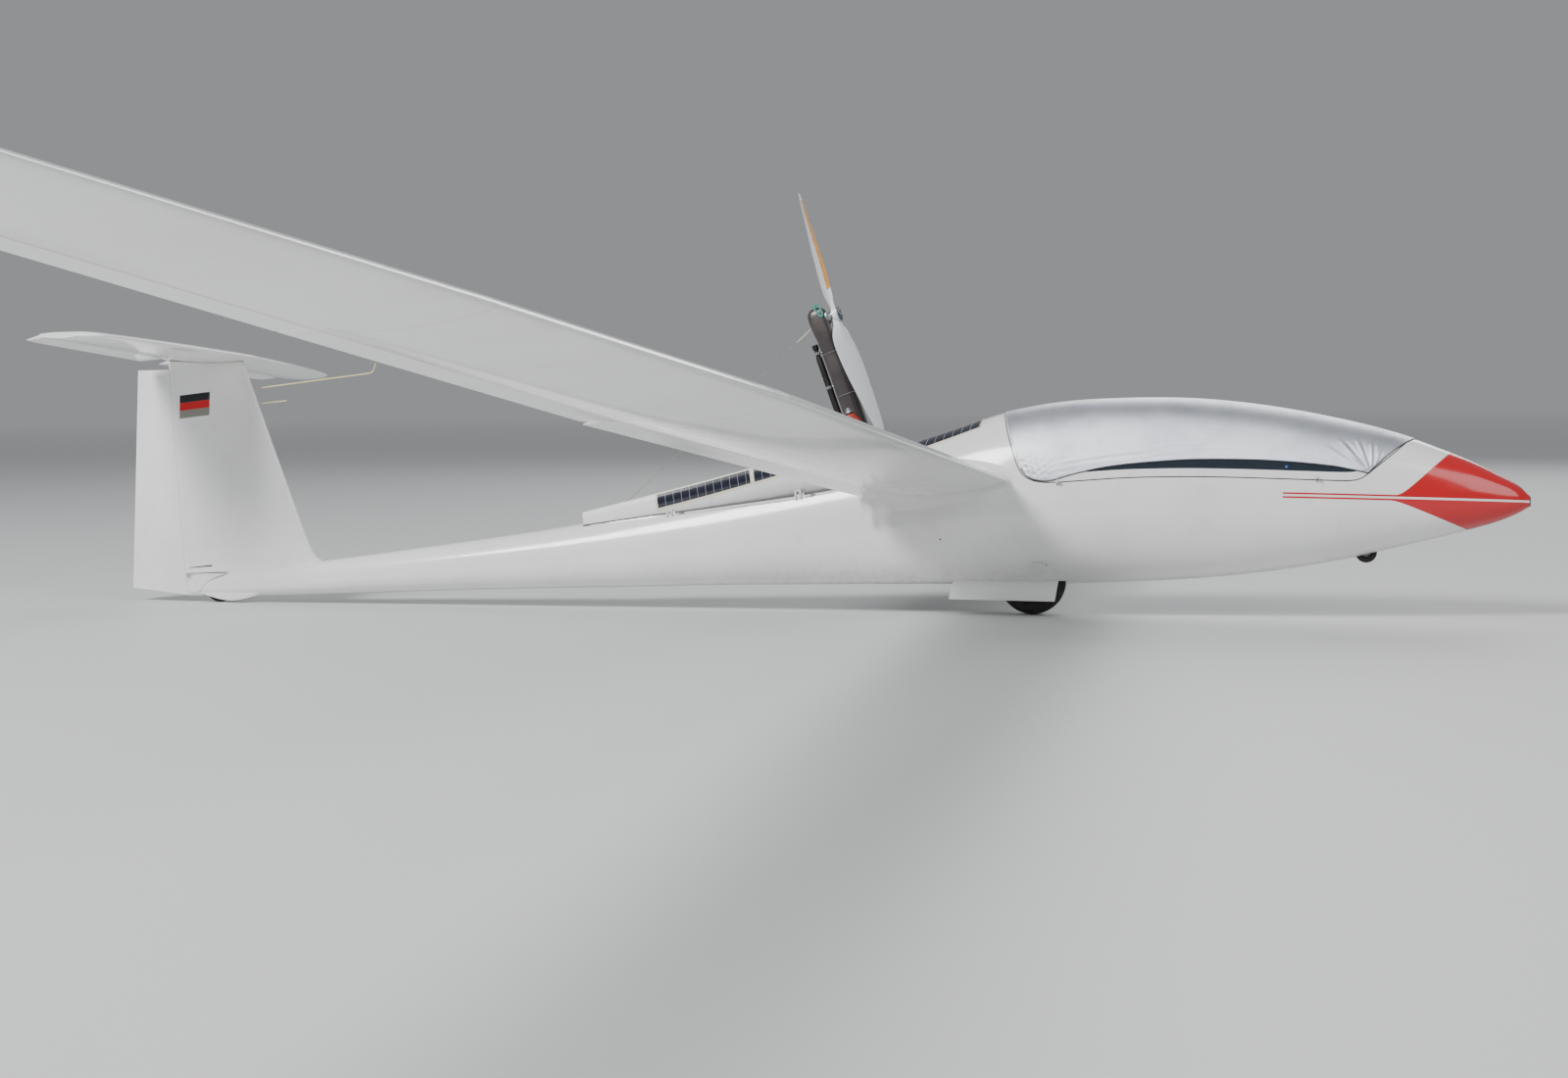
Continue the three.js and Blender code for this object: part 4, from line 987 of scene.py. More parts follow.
VENT_KNOB = (1.489, 0.858)
knob_finish = mottled("vent_knob", "1c4f9e", "2b6cc4", 200, 2, base_color=colour("1f56a8"), roughness=0.35)
for side_name, side in SIDES:
    spot = np.array((VENT_KNOB[0], side * skin_half(*VENT_KNOB)[0], VENT_KNOB[1]))
    out = np.array((0, side * 0.95, 0.3))
    knob = turned(
        f"vent_knob_{side_name}",
        [(0, 0.008), (0.8, 0.008), (1, 0.006)],
        spot - out * 0.003,
        spot + out * 0.0016,
        24,
    )
    fasten(knob, knob_finish, "canopy", "canopy_glazing")


# Canopy cover. A dust cover sewn from silver-coated nylon, pulled over the canopy and held by a
# dark cord in its hem. It strains into creases where the cord tugs at its corners.
# Its hem in side view, from the rear corner to the front one: x, z.
COVER_HEM = [
    (-0.022, 0.845),
    (0.010, 0.806),
    (0.060, 0.781),
    (0.150, 0.776),
    (0.276, 0.812),
    (0.485, 0.858),
    (0.760, 0.887),
    (1.036, 0.900),
    (1.400, 0.894),
    (1.730, 0.866),
    (1.880, 0.838),
    (1.938, 0.824),
]
COVER_CREST = (-0.158, 2.186)
COVER_LIFT = 0.0022
CLOTH = 0.0006
CORD = 0.0032
ROLL = 0.0024
FRONT_CORNER, REAR_CORNER = (1.958, 0.806), (0.020, 0.815)
# Creases that fan from a front corner: angle above level, height, reach.
CREASES = [
    (36, 0.0030, 0.30),
    (51, 0.0115, 0.24),
    (61, 0.0035, 0.20),
    (70, 0.0135, 0.20),
    (80, 0.0040, 0.16),
    (90, 0.0140, 0.17),
    (99, 0.0040, 0.14),
    (108, 0.0120, 0.14),
    (119, 0.0095, 0.14),
]
CREASE_WIDTH = 0.0080


def cover_folds(x, z, edge, side):
    """How far the cloth stands off its smooth shape, from where it is and how near its hem."""
    aft, up = FRONT_CORNER[0] - x, z - FRONT_CORNER[1]
    reach, angle = np.hypot(aft, up), np.degrees(np.arctan2(up, aft))
    folds = np.zeros_like(x)
    for lean, height, length in CREASES:
        lean = lean + side * 2.5
        across = np.radians(angle - lean) * np.maximum(reach, 0.02)
        strength = np.clip(reach / 0.06, 0, 1) * np.exp(-((reach / length) ** 6) * 1.3)
        width = CREASE_WIDTH * (0.55 + 0.6 * reach / length)
        ridge = np.exp(-np.abs(across / width) ** 1.5)
        trough = np.exp(-(((across - 1.8 * width) / width) ** 2))
        folds += height * strength * (ridge - 0.45 * trough)
    near = np.hypot(x - REAR_CORNER[0], z - REAR_CORNER[1])
    crumple = sum(
        np.sin(x * f + z * g + phase + side)
        for f, g, phase in ((170, 95, 0.4), (-120, 160, 2.1), (60, 215, 4.0), (240, -30, 1.2))
    )
    folds += 0.0024 * crumple * np.exp(-((near / 0.11) ** 2))
    strained = np.exp(-(((x - 0.75) / 0.50) ** 2)) * np.exp(-(((edge - 0.050) / 0.05) ** 2))
    folds += 0.0019 * strained * np.sin(edge * 210 + 2.2 * np.sin(x * 5 + side))
    folds += 0.0011 * np.sin(x * 4.1 + side + 1.3 * np.sin(edge * 6)) * np.clip(edge / 0.2, 0, 1)
    hem = np.clip(edge / 0.012, 0, 1)
    return folds * np.clip(edge / 0.02, 0.25, 1) + 0.0012 * np.sin(hem * np.pi)


COLUMNS, ROWS = 270, 65
spread = 1 - (1 - np.linspace(0, 1, COLUMNS)) ** 1.7
hem_line = route(COVER_HEM, 400)
hem_at = smooth(np.column_stack([np.linspace(0, 1, 400), hem_line]), spread)
top, bottom, _ = smooth(FUSELAGE, hem_at[:, 0]).T
middle = bottom + (top - bottom) * WIDEST_AT
hem_sine = np.clip((hem_at[:, 1] - middle) / (top - middle), 0, 1) ** (SQUARENESS / 2)
crest_x = COVER_CREST[0] + (COVER_CREST[1] - COVER_CREST[0]) * spread
rows = []
for q in np.linspace(-1, 1, 2 * ROWS - 1):
    lift = 1 - abs(q)
    angle = np.arcsin(hem_sine) * abs(q) + np.pi / 2 * lift
    share = (np.sin(angle) - hem_sine) / (1 - hem_sine)
    x = hem_at[:, 0] * (1 - share) + crest_x * share
    angle = np.pi - angle if q < 0 else angle
    rows.append(hull(x, angle, -COVER_LIFT))
cover_net = np.array(rows)
step_along = np.gradient(cover_net, axis=1)
step_across = np.gradient(cover_net, axis=0)
outward = np.cross(step_along, step_across)
outward /= np.linalg.norm(outward, axis=2)[..., None]
outward *= np.where((outward[..., 2:] < 0), -1, 1)
for index, q in enumerate(np.linspace(-1, 1, 2 * ROWS - 1)):
    x, _, z = cover_net[index].T
    side_edge = (1 - abs(q)) * 0.62
    end_edge = np.minimum(spread, 1 - spread) * 2.2
    folds = cover_folds(x, z, np.minimum(side_edge, end_edge), math.copysign(1, q))
    cover_net[index] += outward[index] * np.maximum(folds, -COVER_LIFT * 0.7)[:, None]
flat_rows = cover_net.reshape(-1, 3)
corner = np.arange(len(flat_rows)).reshape(cover_net.shape[:2])
quads = np.stack([corner[:-1, :-1], corner[:-1, 1:], corner[1:, 1:], corner[1:, :-1]], -1).reshape(-1, 4)
cover = solid("dust_cover", flat_rows, quads.tolist())
cloth_depth = cover.modifiers.new("cloth", "SOLIDIFY")
cloth_depth.thickness = CLOTH
cloth_depth.offset = 0
settle(cover)

silver = Finish("silver_cloth", metallic=0.8, roughness=0.3, sheen_weight=0.12)
thread = silver.ribs("X", 330)
pick = silver.ribs("Z", 330)
soiled = silver.ramp(silver.noise(5, 5), 0.45, 0.8)
silver.lay(
    base_color=silver.mix(colour("d3d6de"), colour("b9bcc6"), soiled),
    roughness=0.25 + silver.noise(11, 4) * 0.14,
)
silver.relief(thread * pick * 0.4 + silver.noise(55, 5) * 1.6, 0.0006)
fasten(cover, silver, "canopy", "cover_cloth", "canopy_cover", sharp=80)

hem_cord = Finish("hem_cord", base_color=colour("2b2d33"), roughness=0.7)
plait = hem_cord.ribs("DIAGONAL", 260)
hem_cord.lay(base_color=hem_cord.mix(colour("23252b"), colour("4a4d57"), plait)).relief(plait, 0.0006)
border = np.concatenate([cover_net[0], cover_net[1:, -1], cover_net[-1, ::-1][1:]])
piping = tube("hem_cord", border[::2] + (0, 0, -CORD * 0.4), CORD, 8)
fasten(piping, hem_cord, "canopy", "cover_cloth", sharp=60)
roll = tube("rear_roll", cover_net[:, 0], ROLL, 8)
fasten(roll, silver, "canopy", "cover_cloth", sharp=60)
across = np.linalg.norm(np.diff(cover_net, axis=0), axis=2).sum(0).max()
along = np.linalg.norm(np.diff(cover_net, axis=1), axis=2).sum(1).max()


# Hinges. The canopy and the engine doors swing on small outside hinges, each of a moving barrel
# between two fixed ones, with feet that drop into the laminate they are bonded to.
BARREL = 0.006
BARREL_GAP = 0.0005
FOOT = 0.016
CANOPY_HINGES = [(0.200, -0.362, 0.767), (1.660, -0.326, 0.793)]
CANOPY_FOOT = 0.020
CANOPY_HINGE_HALF = 0.006
hinge_paint = Finish("hinge_paint", roughness=0.4)
worn = hinge_paint.ramp(hinge_paint.noise(120, 4), 0.5, 0.8)
hinge_paint.lay(
    base_color=hinge_paint.mix(colour("dcdcd8"), colour("9b9b98"), worn),
    roughness=0.35 + worn * 0.2,
)


def leaf(name, centre, line, side, span, drop):
    """One barrel with its foot. side is the way its foot points, and drop how deep it goes."""
    line = Vector(line).normalized()
    side = (Vector(side) - line * Vector(side).dot(line)).normalized()
    height = line.cross(side)
    height = height if height.z > 0 or abs(height.z) < 0.3 else -height
    turn = np.linspace(0.35 * np.pi, 1.25 * np.pi, 12)
    outline = [(math.cos(a) * BARREL, math.sin(a) * BARREL) for a in turn]
    outline += [(-BARREL * 0.35, -drop), (FOOT, -drop), (FOOT, -0.3 * drop)]
    rings = []
    for at, inset in ((span[0], 0.85), (span[0] + 0.001, 1.0), (span[1] - 0.001, 1.0), (span[1], 0.85)):
        middle = Vector(centre) + line * at
        rings.append([middle + side * (a * inset) + height * (b * inset) for a, b in outline])
    return loft(name, rings)


def together(name, pieces):
    """Several solids as one piece."""
    work = bmesh.new()
    for piece in pieces:
        work.from_mesh(piece.data)
        bpy.data.objects.remove(piece)
    mesh = bpy.data.meshes.new(name)
    work.to_mesh(mesh)
    work.free()
    piece = bpy.data.objects.new(name, mesh)
    bpy.context.scene.collection.objects.link(piece)
    return piece


def hinge(name, centre, line, side, half, drop, fixed_to, moving_on, joint=None, turn=0.0):
    """A moving barrel that reaches half each way from its centre, between two fixed ones."""
    side = Vector(side)
    moving = leaf(f"{name}_moving", centre, line, -side, (-half, half), drop)
    near = leaf("near", centre, line, side, (half + BARREL_GAP, 2 * half), drop)
    far = leaf("far", centre, line, side, (-2 * half, -half - BARREL_GAP), drop)
    fasten(moving, hinge_paint, moving_on, "steel", joint=joint, turn=turn)
    fasten(together(f"{name}_fixed", [near, far]), hinge_paint, fixed_to, "steel")


canopy_line = Vector(CANOPY_HINGES[0]) - Vector(CANOPY_HINGES[1])
for end, centre in zip(("rear", "front"), CANOPY_HINGES):
    hinge(
        f"canopy_hinge_{end}", centre, canopy_line, (0, 0, -1), CANOPY_HINGE_HALF, CANOPY_FOOT,
        "airframe", "canopy",
    )


# Engine doors. Two long sandwich lids, split along the spine, that stand open beside the pylon.
# Blue-black solar cells under clear film, framed in cream tape, are laid along their inner edges.
DOOR_REST = -65.0
DOOR_GAP = 0.0035
DOOR_HINGES = (-1.390, -2.210)
DOOR_HINGE_HALF = 0.010
# Notch in a door's edge round each hinge.
NOTCH_HALF, NOTCH_DEPTH = 0.0265, 0.013
DOOR_NOTCH, DOOR_NOTCH_HALF = -1.190, 0.092
CELL_PITCH = 0.0530
CELL_FRAME = 0.012
CELL_DEPTH = 0.0012
# Cell strips on a door: rear end, front end, inner and outer distance from the spine.
DOOR_STRIPS = [(-2.294, -1.660, 0.011, 0.106), (-1.6595, -1.225, 0.011, 0.106)]
SPINE_STRIP = (-0.741, -0.286, 0.040, 0.172)


def door_plan(side, gap):
    return [
        (DOOR_FRONT - gap, side * (DOOR_FRONT_HALF - gap)),
        (DOOR_REAR + gap, side * (DOOR_REAR_HALF - gap)),
        (DOOR_REAR + gap, side * gap),
        (DOOR_NOTCH, side * gap),
        (DOOR_NOTCH, side * DOOR_NOTCH_HALF),
        (DOOR_FRONT - gap, side * DOOR_NOTCH_HALF),
    ]


def solar_strip(name, strip, side):
    """A thin panel of cells that follows the skin."""
    rear, front, inner, outer = strip
    rings = []
    for x in np.linspace(rear, front, 60):
        y = np.linspace(inner, outer, 9)
        z = skin_height(np.full(9, x), y)
        upper = [(x, side * a, b + CELL_DEPTH) for a, b in zip(y, z)]
        lower = [(x, side * a, b - 0.002) for a, b in zip(y, z)]
        rings.append(upper + lower[::-1])
    return loft(name, rings)


def solar_finish(name, strip):
    """Cells between silver lines, inside a cream frame."""
    rear, front, inner, outer = strip
    finish = Finish(name, coat_weight=0.5, coat_roughness=0.08)
    y = abs(finish.y)
    inside = band(finish, finish.x, rear + CELL_FRAME, front - CELL_FRAME, 0.0006)
    inside = inside * band(finish, y, inner + CELL_FRAME * 0.5, outer - CELL_FRAME, 0.0006)
    at = (finish.x - rear - CELL_FRAME) % CELL_PITCH
    busbar = abs(abs(y - (inner + outer) / 2) - 0.018) < 0.0006
    finger = finish.ribs("X", 160)
    cell = finish.mix(colour("0e101b"), colour("181b2e"), finish.ramp(finish.noise(26, 2), 0.35, 0.7))
    cell = finish.mix(cell, colour("31364c"), finger * 0.12 + busbar * 0.5)
    seam = at < 0.0020
    cell = finish.mix(cell, colour("a9adb6"), seam)
    base = finish.mix(colour("e4dcca"), cell, inside)
    finish.lay(base_color=base, roughness=0.42 - inside * 0.24)
    return finish.relief(inside * -1 + seam * inside * 0.4, 0.0006)


for side_name, side in SIDES:
    name = f"engine_door_{side_name}"
    lid = shell(f"{name}_lid", DOOR_FRONT + 0.05, DOOR_REAR - 0.03, SKIN)
    plan = door_plan(side, 2 * DOOR_GAP)
    combine(lid, prism("cutter", plan, CUTTER_LOW, CUTTER_HIGH, "xy"), "INTERSECT")
    for x in DOOR_HINGES:
        edge = np.interp(x, (DOOR_REAR, DOOR_FRONT), (DOOR_REAR_HALF, DOOR_FRONT_HALF))
        front, rear = x + NOTCH_HALF, x - NOTCH_HALF
        near, far = side * (edge - NOTCH_DEPTH), side * (edge + NOTCH_DEPTH)
        notch = [(front, near), (rear, near), (rear, far), (front, far)]
        cut(lid, prism("cutter", notch, CUTTER_LOW, CUTTER_HIGH, "xy"))
    fasten(lid, wing_gelcoat, name, "gelcoat", name, joint=f"{name}_hinge", turn=DOOR_REST)
    for number, strip in enumerate(DOOR_STRIPS):
        cells = solar_strip(f"{name}_cells_{number + 1}", strip, side)
        film = solar_finish(f"{name}_cells_{number + 1}", strip)
        fasten(cells, film, name, "panel", joint=f"{name}_hinge", turn=DOOR_REST)
    ends = [
        Vector((x, side * (half - DOOR_GAP), skin_height(x, half - DOOR_GAP)[0] + BARREL + 0.001))
        for x, half in ((DOOR_FRONT, DOOR_FRONT_HALF), (DOOR_REAR, DOOR_REAR_HALF))
    ]
    line = (ends[0] - ends[1]) * side
    for number, x in enumerate(DOOR_HINGES):
        centre = ends[0].lerp(ends[1], (x - ends[0].x) / (ends[1].x - ends[0].x))
        drop = centre.z - skin_height(x, centre.y)[0] + 0.012
        hinge(
            f"{name}_hinge_{number + 1}", centre, line, (0, side, 0), DOOR_HINGE_HALF, drop,
            "airframe", name, f"{name}_hinge", DOOR_REST,
        )
    spine = solar_strip(f"spine_cells_{side_name}", SPINE_STRIP, side)
    fasten(spine, solar_finish("spine_cells", SPINE_STRIP), "airframe", "panel")


# Pylon. A carbon box that carries the propeller's bearing and hides the drive belt, raised on a
# pin through two cheeks in the bay. It leans aft.
PYLON_PIVOT = np.array((-0.934, 0.0, 0.760))
PYLON_LEAN = math.radians(20.5)
PYLON_LENGTH, PYLON_FACE = 1.064, 0.058
# Along the pylon: height, fore edge, aft edge, half width.
HOUSING = [
    (-0.034, 0.022, -0.022, 0.020),
    (0.000, 0.040, -0.040, 0.034),
    (0.120, 0.052, -0.056, 0.046),
    (0.520, 0.060, -0.060, 0.052),
    (0.900, 0.058, -0.061, 0.052),
    (1.000, 0.058, -0.070, 0.052),
    (1.060, 0.057, -0.074, 0.051),
    (1.110, 0.050, -0.068, 0.046),
    (1.134, 0.032, -0.050, 0.034),
    (1.142, 0.014, -0.032, 0.018),
]
pylon_up = np.array((-math.sin(PYLON_LEAN), 0.0, math.cos(PYLON_LEAN)))
pylon_fore = np.array((math.cos(PYLON_LEAN), 0.0, math.sin(PYLON_LEAN)))


def on_pylon(height, ahead, y=0.0):
    return PYLON_PIVOT + pylon_up * height + pylon_fore * ahead + np.array((0.0, y, 0.0))


def oblong(front, rear, half, power=3.4, count=40):
    """A rounded rectangle's points, as fore and sideways distances."""
    turn = np.linspace(0, 2 * np.pi, count, endpoint=False)
    c, s = np.cos(turn), np.sin(turn)
    middle, reach = (front + rear) / 2, (front - rear) / 2
    fore = middle + reach * np.sign(c) * np.abs(c) ** (2 / power)
    return list(zip(fore, half * np.sign(s) * np.abs(s) ** (2 / power)))


carbon = Finish("pylon_carbon", roughness=0.38, coat_weight=0.35, coat_roughness=0.2)
twill = carbon.ribs("DIAGONAL", 95)
smear = carbon.ramp(carbon.noise(9, 5), 0.4, 0.75)
ahead = (carbon.x - PYLON_PIVOT[0]) * pylon_fore[0] + (carbon.z - PYLON_PIVOT[2]) * pylon_fore[2]
belt_side = carbon.ramp(ahead, 0.026, 0.027)
seam = band(carbon, ahead, 0.024, 0.028, 0.0006)
weave = carbon.mix(colour("2c2624"), colour("40373a"), twill)
weave = carbon.mix(weave, colour("5c5048"), smear * 0.35)
weave = carbon.mix(weave, colour("181618"), belt_side * 0.6 + seam)
carbon.lay(base_color=weave, roughness=0.34 + smear * 0.25)
carbon.relief(twill * 0.3 + carbon.noise(40, 3) - seam * 2, 0.0005)
# The housing's rounded top takes closer rings than the rest.
heights = np.concatenate([
    np.linspace(HOUSING[0][0], 1.0, 50),
    np.linspace(1.01, HOUSING[-1][0], 22),
])
housing = loft("housing", [
    [on_pylon(h, fore, y) for fore, y in oblong(*smooth(HOUSING, h)[0])] for h in heights
])
pin_end = np.array((0, 0.072, 0))
pin_shape = [(0, 0.011), (0.01, 0.012), (0.99, 0.012), (1, 0.011)]
pin = turned("pin", pin_shape, PYLON_PIVOT - pin_end, PYLON_PIVOT + pin_end)
box = together("pylon_box", [housing, pin])
fasten(box, carbon, "pylon", "carbon", "pylon_housing")


# Pylon fittings. A bearing cover on its carrier plate in bare alloy at the top, a green safety
# clip, metal straps round the box, and at its foot a coolant hose and an intake coupling, both
# of orange silicone and held by clamps.
alloy = Finish("alloy", metallic=0.95, roughness=0.35)
scuffed = alloy.noise(70, 5)
alloy.lay(
    base_color=alloy.mix(colour("b4b7ba"), colour("7d8084"), scuffed),
    roughness=0.25 + scuffed * 0.25,
)
alloy.relief(scuffed, 0.0003)
bearing = turned(
    "bearing_cover",
    [(0, 0.046), (0.35, 0.046), (0.5, 0.040), (0.8, 0.038), (1, 0.034)],
    on_pylon(PYLON_LENGTH, 0.040),
    on_pylon(PYLON_LENGTH, PYLON_FACE + 0.006),
)
fasten(bearing, alloy, "pylon", "steel")

CARRIER_HEIGHT = 0.972
carrier = []
for ahead, size in ((0.050, 0.9), (0.0615, 1.0), (0.0635, 0.96)):
    carrier.append([
        on_pylon(CARRIER_HEIGHT + up * size, ahead, y * size)
        for up, y in oblong(0.060, -0.056, 0.044, 3.0, 36)
    ])
fasten(loft("bearing_carrier", carrier), alloy, "pylon", "steel")

STRAP_HEIGHTS = (0.30, 0.58, 0.85)
STRAP = 0.0022
bands = []
for height in STRAP_HEIGHTS:
    front, rear, half = smooth(HOUSING, height)[0]
    ring = [on_pylon(height, f, y) for f, y in oblong(front + 0.001, rear - 0.001, half + 0.001)]
    bands.append(tube("band", ring, STRAP, 8, closed=True))
fasten(together("pylon_bands", bands), alloy, "pylon", "steel")

clip_finish = mottled("green_clip", "2c7f74", "4fa596", 80, 3, roughness=0.4)
CLIP_SIDE = -0.052
CLIP_THICKNESS = 0.0065
# The clip's loop along the pylon: height, distance ahead.
CLIP = [
    (1.128, -0.006),
    (1.150, 0.000),
    (1.152, 0.018),
    (1.128, 0.026),
    (1.086, 0.030),
    (1.074, 0.022),
    (1.080, 0.012),
    (1.110, 0.002),
]
clip_path = route([on_pylon(h, a, CLIP_SIDE) for h, a in [*CLIP, CLIP[0]]], 40)[:-1]
clip = tube("safety_clip", clip_path, CLIP_THICKNESS, 10, closed=True)
fasten(clip, clip_finish, "pylon", "carbon")

silicone = mottled("orange_silicone", "b23a22", "8a2c1c", 60, 4, roughness=0.55)
HOSE, CLAMP = 0.017, 0.0185
# The hose along the pylon: height, distance ahead, y.
HOSE_ROUTE = [(0.05, 0.066, -0.03), (0.16, 0.076, -0.03), (0.27, 0.078, -0.028)]
hose_path = route([on_pylon(*point) for point in HOSE_ROUTE], 24)
fasten(tube("coolant_hose", hose_path, HOSE, 20), silicone, "pylon", "carbon")
# The coupling from its lower end: share of its length, radius.
COUPLING = [
    (0, 0.030),
    (0.04, 0.045),
    (0.10, 0.052),
    (0.38, 0.055),
    (0.55, 0.052),
    (0.78, 0.038),
    (1, 0.036),
]
mouth, throat = on_pylon(0.372, -0.018, -0.046), on_pylon(0.452, -0.018, -0.040)
coupling = turned("intake_coupling", COUPLING, mouth, throat, 40)
fasten(coupling, silicone, "pylon", "carbon")
clamps = [tube("clamp", [hose_path[k], hose_path[k + 1]], CLAMP, 24) for k in (2, 18, 21)]
neck = (on_pylon(0.450, -0.018, -0.040), on_pylon(0.485, -0.018, -0.024))
clamps.append(turned("neck", [(0, 0.0375), (0.3, 0.0375), (0.35, 0.033), (1, 0.030)], *neck, 40))
clamps += [turned("clamp", [(0, 0.014), (1, 0.014)], hose_path[21], on_pylon(0.36, 0.066, -0.02))]
fasten(together("hose_clamps", clamps), alloy, "pylon", "steel")


# Exhaust. A black steel pipe up the back of the pylon, with a flange at its top, bead-rolled
# joints, and three clamped brackets that hold it off the box.
soot = Finish("sooted_steel", metallic=0.6, roughness=0.5)
burnt = soot.noise(30, 6)
soot.lay(
    base_color=soot.mix(colour("17181b"), colour("35302c"), burnt),
    roughness=0.4 + burnt * 0.3,
)
soot.relief(burnt, 0.0004)
PIPE_FOOT, PIPE_TOP = on_pylon(0.250, -0.092), on_pylon(0.932, -0.090)
# The pipe from its foot: share of its length, radius.
PIPE = [
    (0.0, 0.013), (0.10, 0.013), (0.11, 0.016), (0.13, 0.016), (0.14, 0.014), (0.22, 0.015),
    (0.235, 0.019), (0.25, 0.020), (0.68, 0.020), (0.70, 0.0185), (0.72, 0.020), (0.88, 0.019),
    (0.90, 0.013), (0.95, 0.0125), (0.965, 0.019), (1.0, 0.019),
]
BRACKET_SHARES = (0.08, 0.60, 0.92)
fasten(turned("exhaust_pipe", PIPE, PIPE_FOOT, PIPE_TOP), soot, "pylon", "carbon", "pylon_exhaust_pipe")
brackets = []
for share in BRACKET_SHARES:
    middle = PIPE_FOOT + (PIPE_TOP - PIPE_FOOT) * share
    along = (PIPE_TOP - PIPE_FOOT) * 0.012
    brackets.append(turned("strap", [(0, 0.0212), (1, 0.0212)], middle - along, middle + along))
    brackets.append(turned("arm", [(0, 0.006), (1, 0.006)], middle, middle + pylon_fore * 0.032))
    brackets.append(turned("bolt", [(0, 0.004), (1, 0.004)], middle - (0, 0.031, 0), middle))
fasten(together("exhaust_brackets", brackets), alloy, "pylon", "steel")


# Restraint. A steel cable, thin and taut, from a pale sleeve at the pylon's top to the rear of
# the bay. It stops the pylon going past upright.
RESTRAINT_TOP, RESTRAINT_FOOT = (-1.366, 0, 1.701), (-2.822, 0, 0.386)
CABLE = 0.0018
restraint_path = route([RESTRAINT_TOP, RESTRAINT_FOOT], 60)
cable_finish = Finish("restraint_cable", metallic=0.7, roughness=0.4)
strand = cable_finish.ribs("DIAGONAL", 400)
cable_finish.lay(base_color=cable_finish.mix(colour("8b8778"), colour("bdb8a6"), strand))
cable_finish.relief(strand, 0.0003)
cable = park(tube("restraint_cable", restraint_path, CABLE, 8), cable_finish, sharp=60)
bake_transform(cable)
sleeve_finish = mottled("cable_sleeve", "cfcdbb", "a5a28f", 90, 3, roughness=0.6)
SLEEVE = [(0, 0.004), (0.06, 0.0055), (0.9, 0.0055), (1, 0.003)]
sleeve_end = Vector(RESTRAINT_TOP).lerp(Vector(RESTRAINT_FOOT), 0.060)
sleeve = turned("cable_sleeve", SLEEVE, RESTRAINT_TOP, sleeve_end)
fasten(sleeve, sleeve_finish, "pylon", "carbon")


# Propeller. Two white wooden blades on a steel flange, with a dark clamping plate and six bolts
# ahead of them. An amber strip on the rear face guards each leading edge from rain.
PROPELLER_RADIUS = 0.778
PROPELLER_RAKE = math.radians(3)
BLADE_AHEAD, BLADE_OFFSET = 0.092, 0.024
# Blade: fraction of the radius, chord, thickness, pitch angle.
BLADE = [
    (0.03, 0.054, 0.028, 42),
    (0.08, 0.062, 0.026, 38),
    (0.16, 0.140, 0.021, 32),
    (0.26, 0.182, 0.016, 29.5),
    (0.38, 0.196, 0.013, 27.5),
    (0.52, 0.192, 0.011, 26),
    (0.68, 0.170, 0.009, 23.5),
    (0.82, 0.144, 0.007, 21.5),
    (0.92, 0.114, 0.005, 20),
    (0.97, 0.084, 0.0035, 19.5),
    (1.00, 0.034, 0.002, 19),
]


def blade_section(fraction, start, end, count, proud=0.0):
    """Points round a blade's section as (across, out), from one turn to another."""
    width, thick, _ = smooth(BLADE, fraction)[0]
    turn = np.linspace(start, end, count)
    across = 0.5 * np.cos(turn) * (width + 2 * proud) - BLADE_OFFSET * min(fraction / 0.2, 1)
    taper = np.clip(0.25 + 0.75 * (1 + np.cos(turn)), 0, 1) ** 0.6
    return np.stack([across, np.sin(turn) * taper * (thick / 2 + proud)], -1)


def blade_ring(fraction, sign, section):
    reach = fraction * PROPELLER_RADIUS
    pitch = math.radians(smooth(BLADE, fraction)[0][2])
    ahead = BLADE_AHEAD + math.sin(PROPELLER_RAKE) * reach
    ring = []
    for across, out in section:
        y = -sign * (across * math.cos(pitch) - out * math.sin(pitch))
        forward = across * math.sin(pitch) + out * math.cos(pitch)
        ring.append(on_pylon(PYLON_LENGTH + sign * reach, ahead + forward, y))
    return ring


blade_paint = Finish("blade_paint", roughness=0.3, coat_weight=0.5, coat_roughness=0.1)
chips = blade_paint.ramp(blade_paint.noise(60, 5), 0.62, 0.75)
blade_paint.lay(
    base_color=blade_paint.mix(colour("e9ebee"), colour("cfd2d6"), chips),
    roughness=0.26 + chips * 0.3,
)
blade_paint.relief(blade_paint.noise(25, 3), 0.0005)
amber = Finish("amber_strip", base_color=colour("d9962e"), roughness=0.3, coat_weight=0.5)
weathered = amber.ramp(amber.noise(20, 4), 0.4, 0.8)
amber.lay(base_color=amber.mix(colour("dd9a2f"), colour("b87716"), weathered))
blades, strips = [], []
for sign in (1, -1):
    spans = 1 - (1 - np.linspace(0.03, 1, 60)) ** 1.15
    blades.append(loft("blade", [
        blade_ring(f, sign, blade_section(f, 0, 2 * np.pi * 35 / 36, 36)) for f in spans
    ]))
    strips.append(loft("strip", [
        blade_ring(f, sign, np.concatenate([
            blade_section(f, -1.15, 0.30, 13, 0.0005),
            blade_section(f, 0.30, -1.15, 13, -0.0005),
        ]))
        for f in np.linspace(0.20, 0.93, 48)
    ]))
boss = turned(
    "boss",
    [(0, 0.040), (0.1, 0.044), (0.9, 0.044), (1, 0.040)],
    on_pylon(PYLON_LENGTH, 0.0800),
    on_pylon(PYLON_LENGTH, 0.1158),
)
blades = together("blades", [*blades, boss])
fasten(blades, blade_paint, "propeller", "blade_paint", "propeller_blades")
fasten(together("blade_edge_strips", strips), amber, "propeller", "blade_paint")

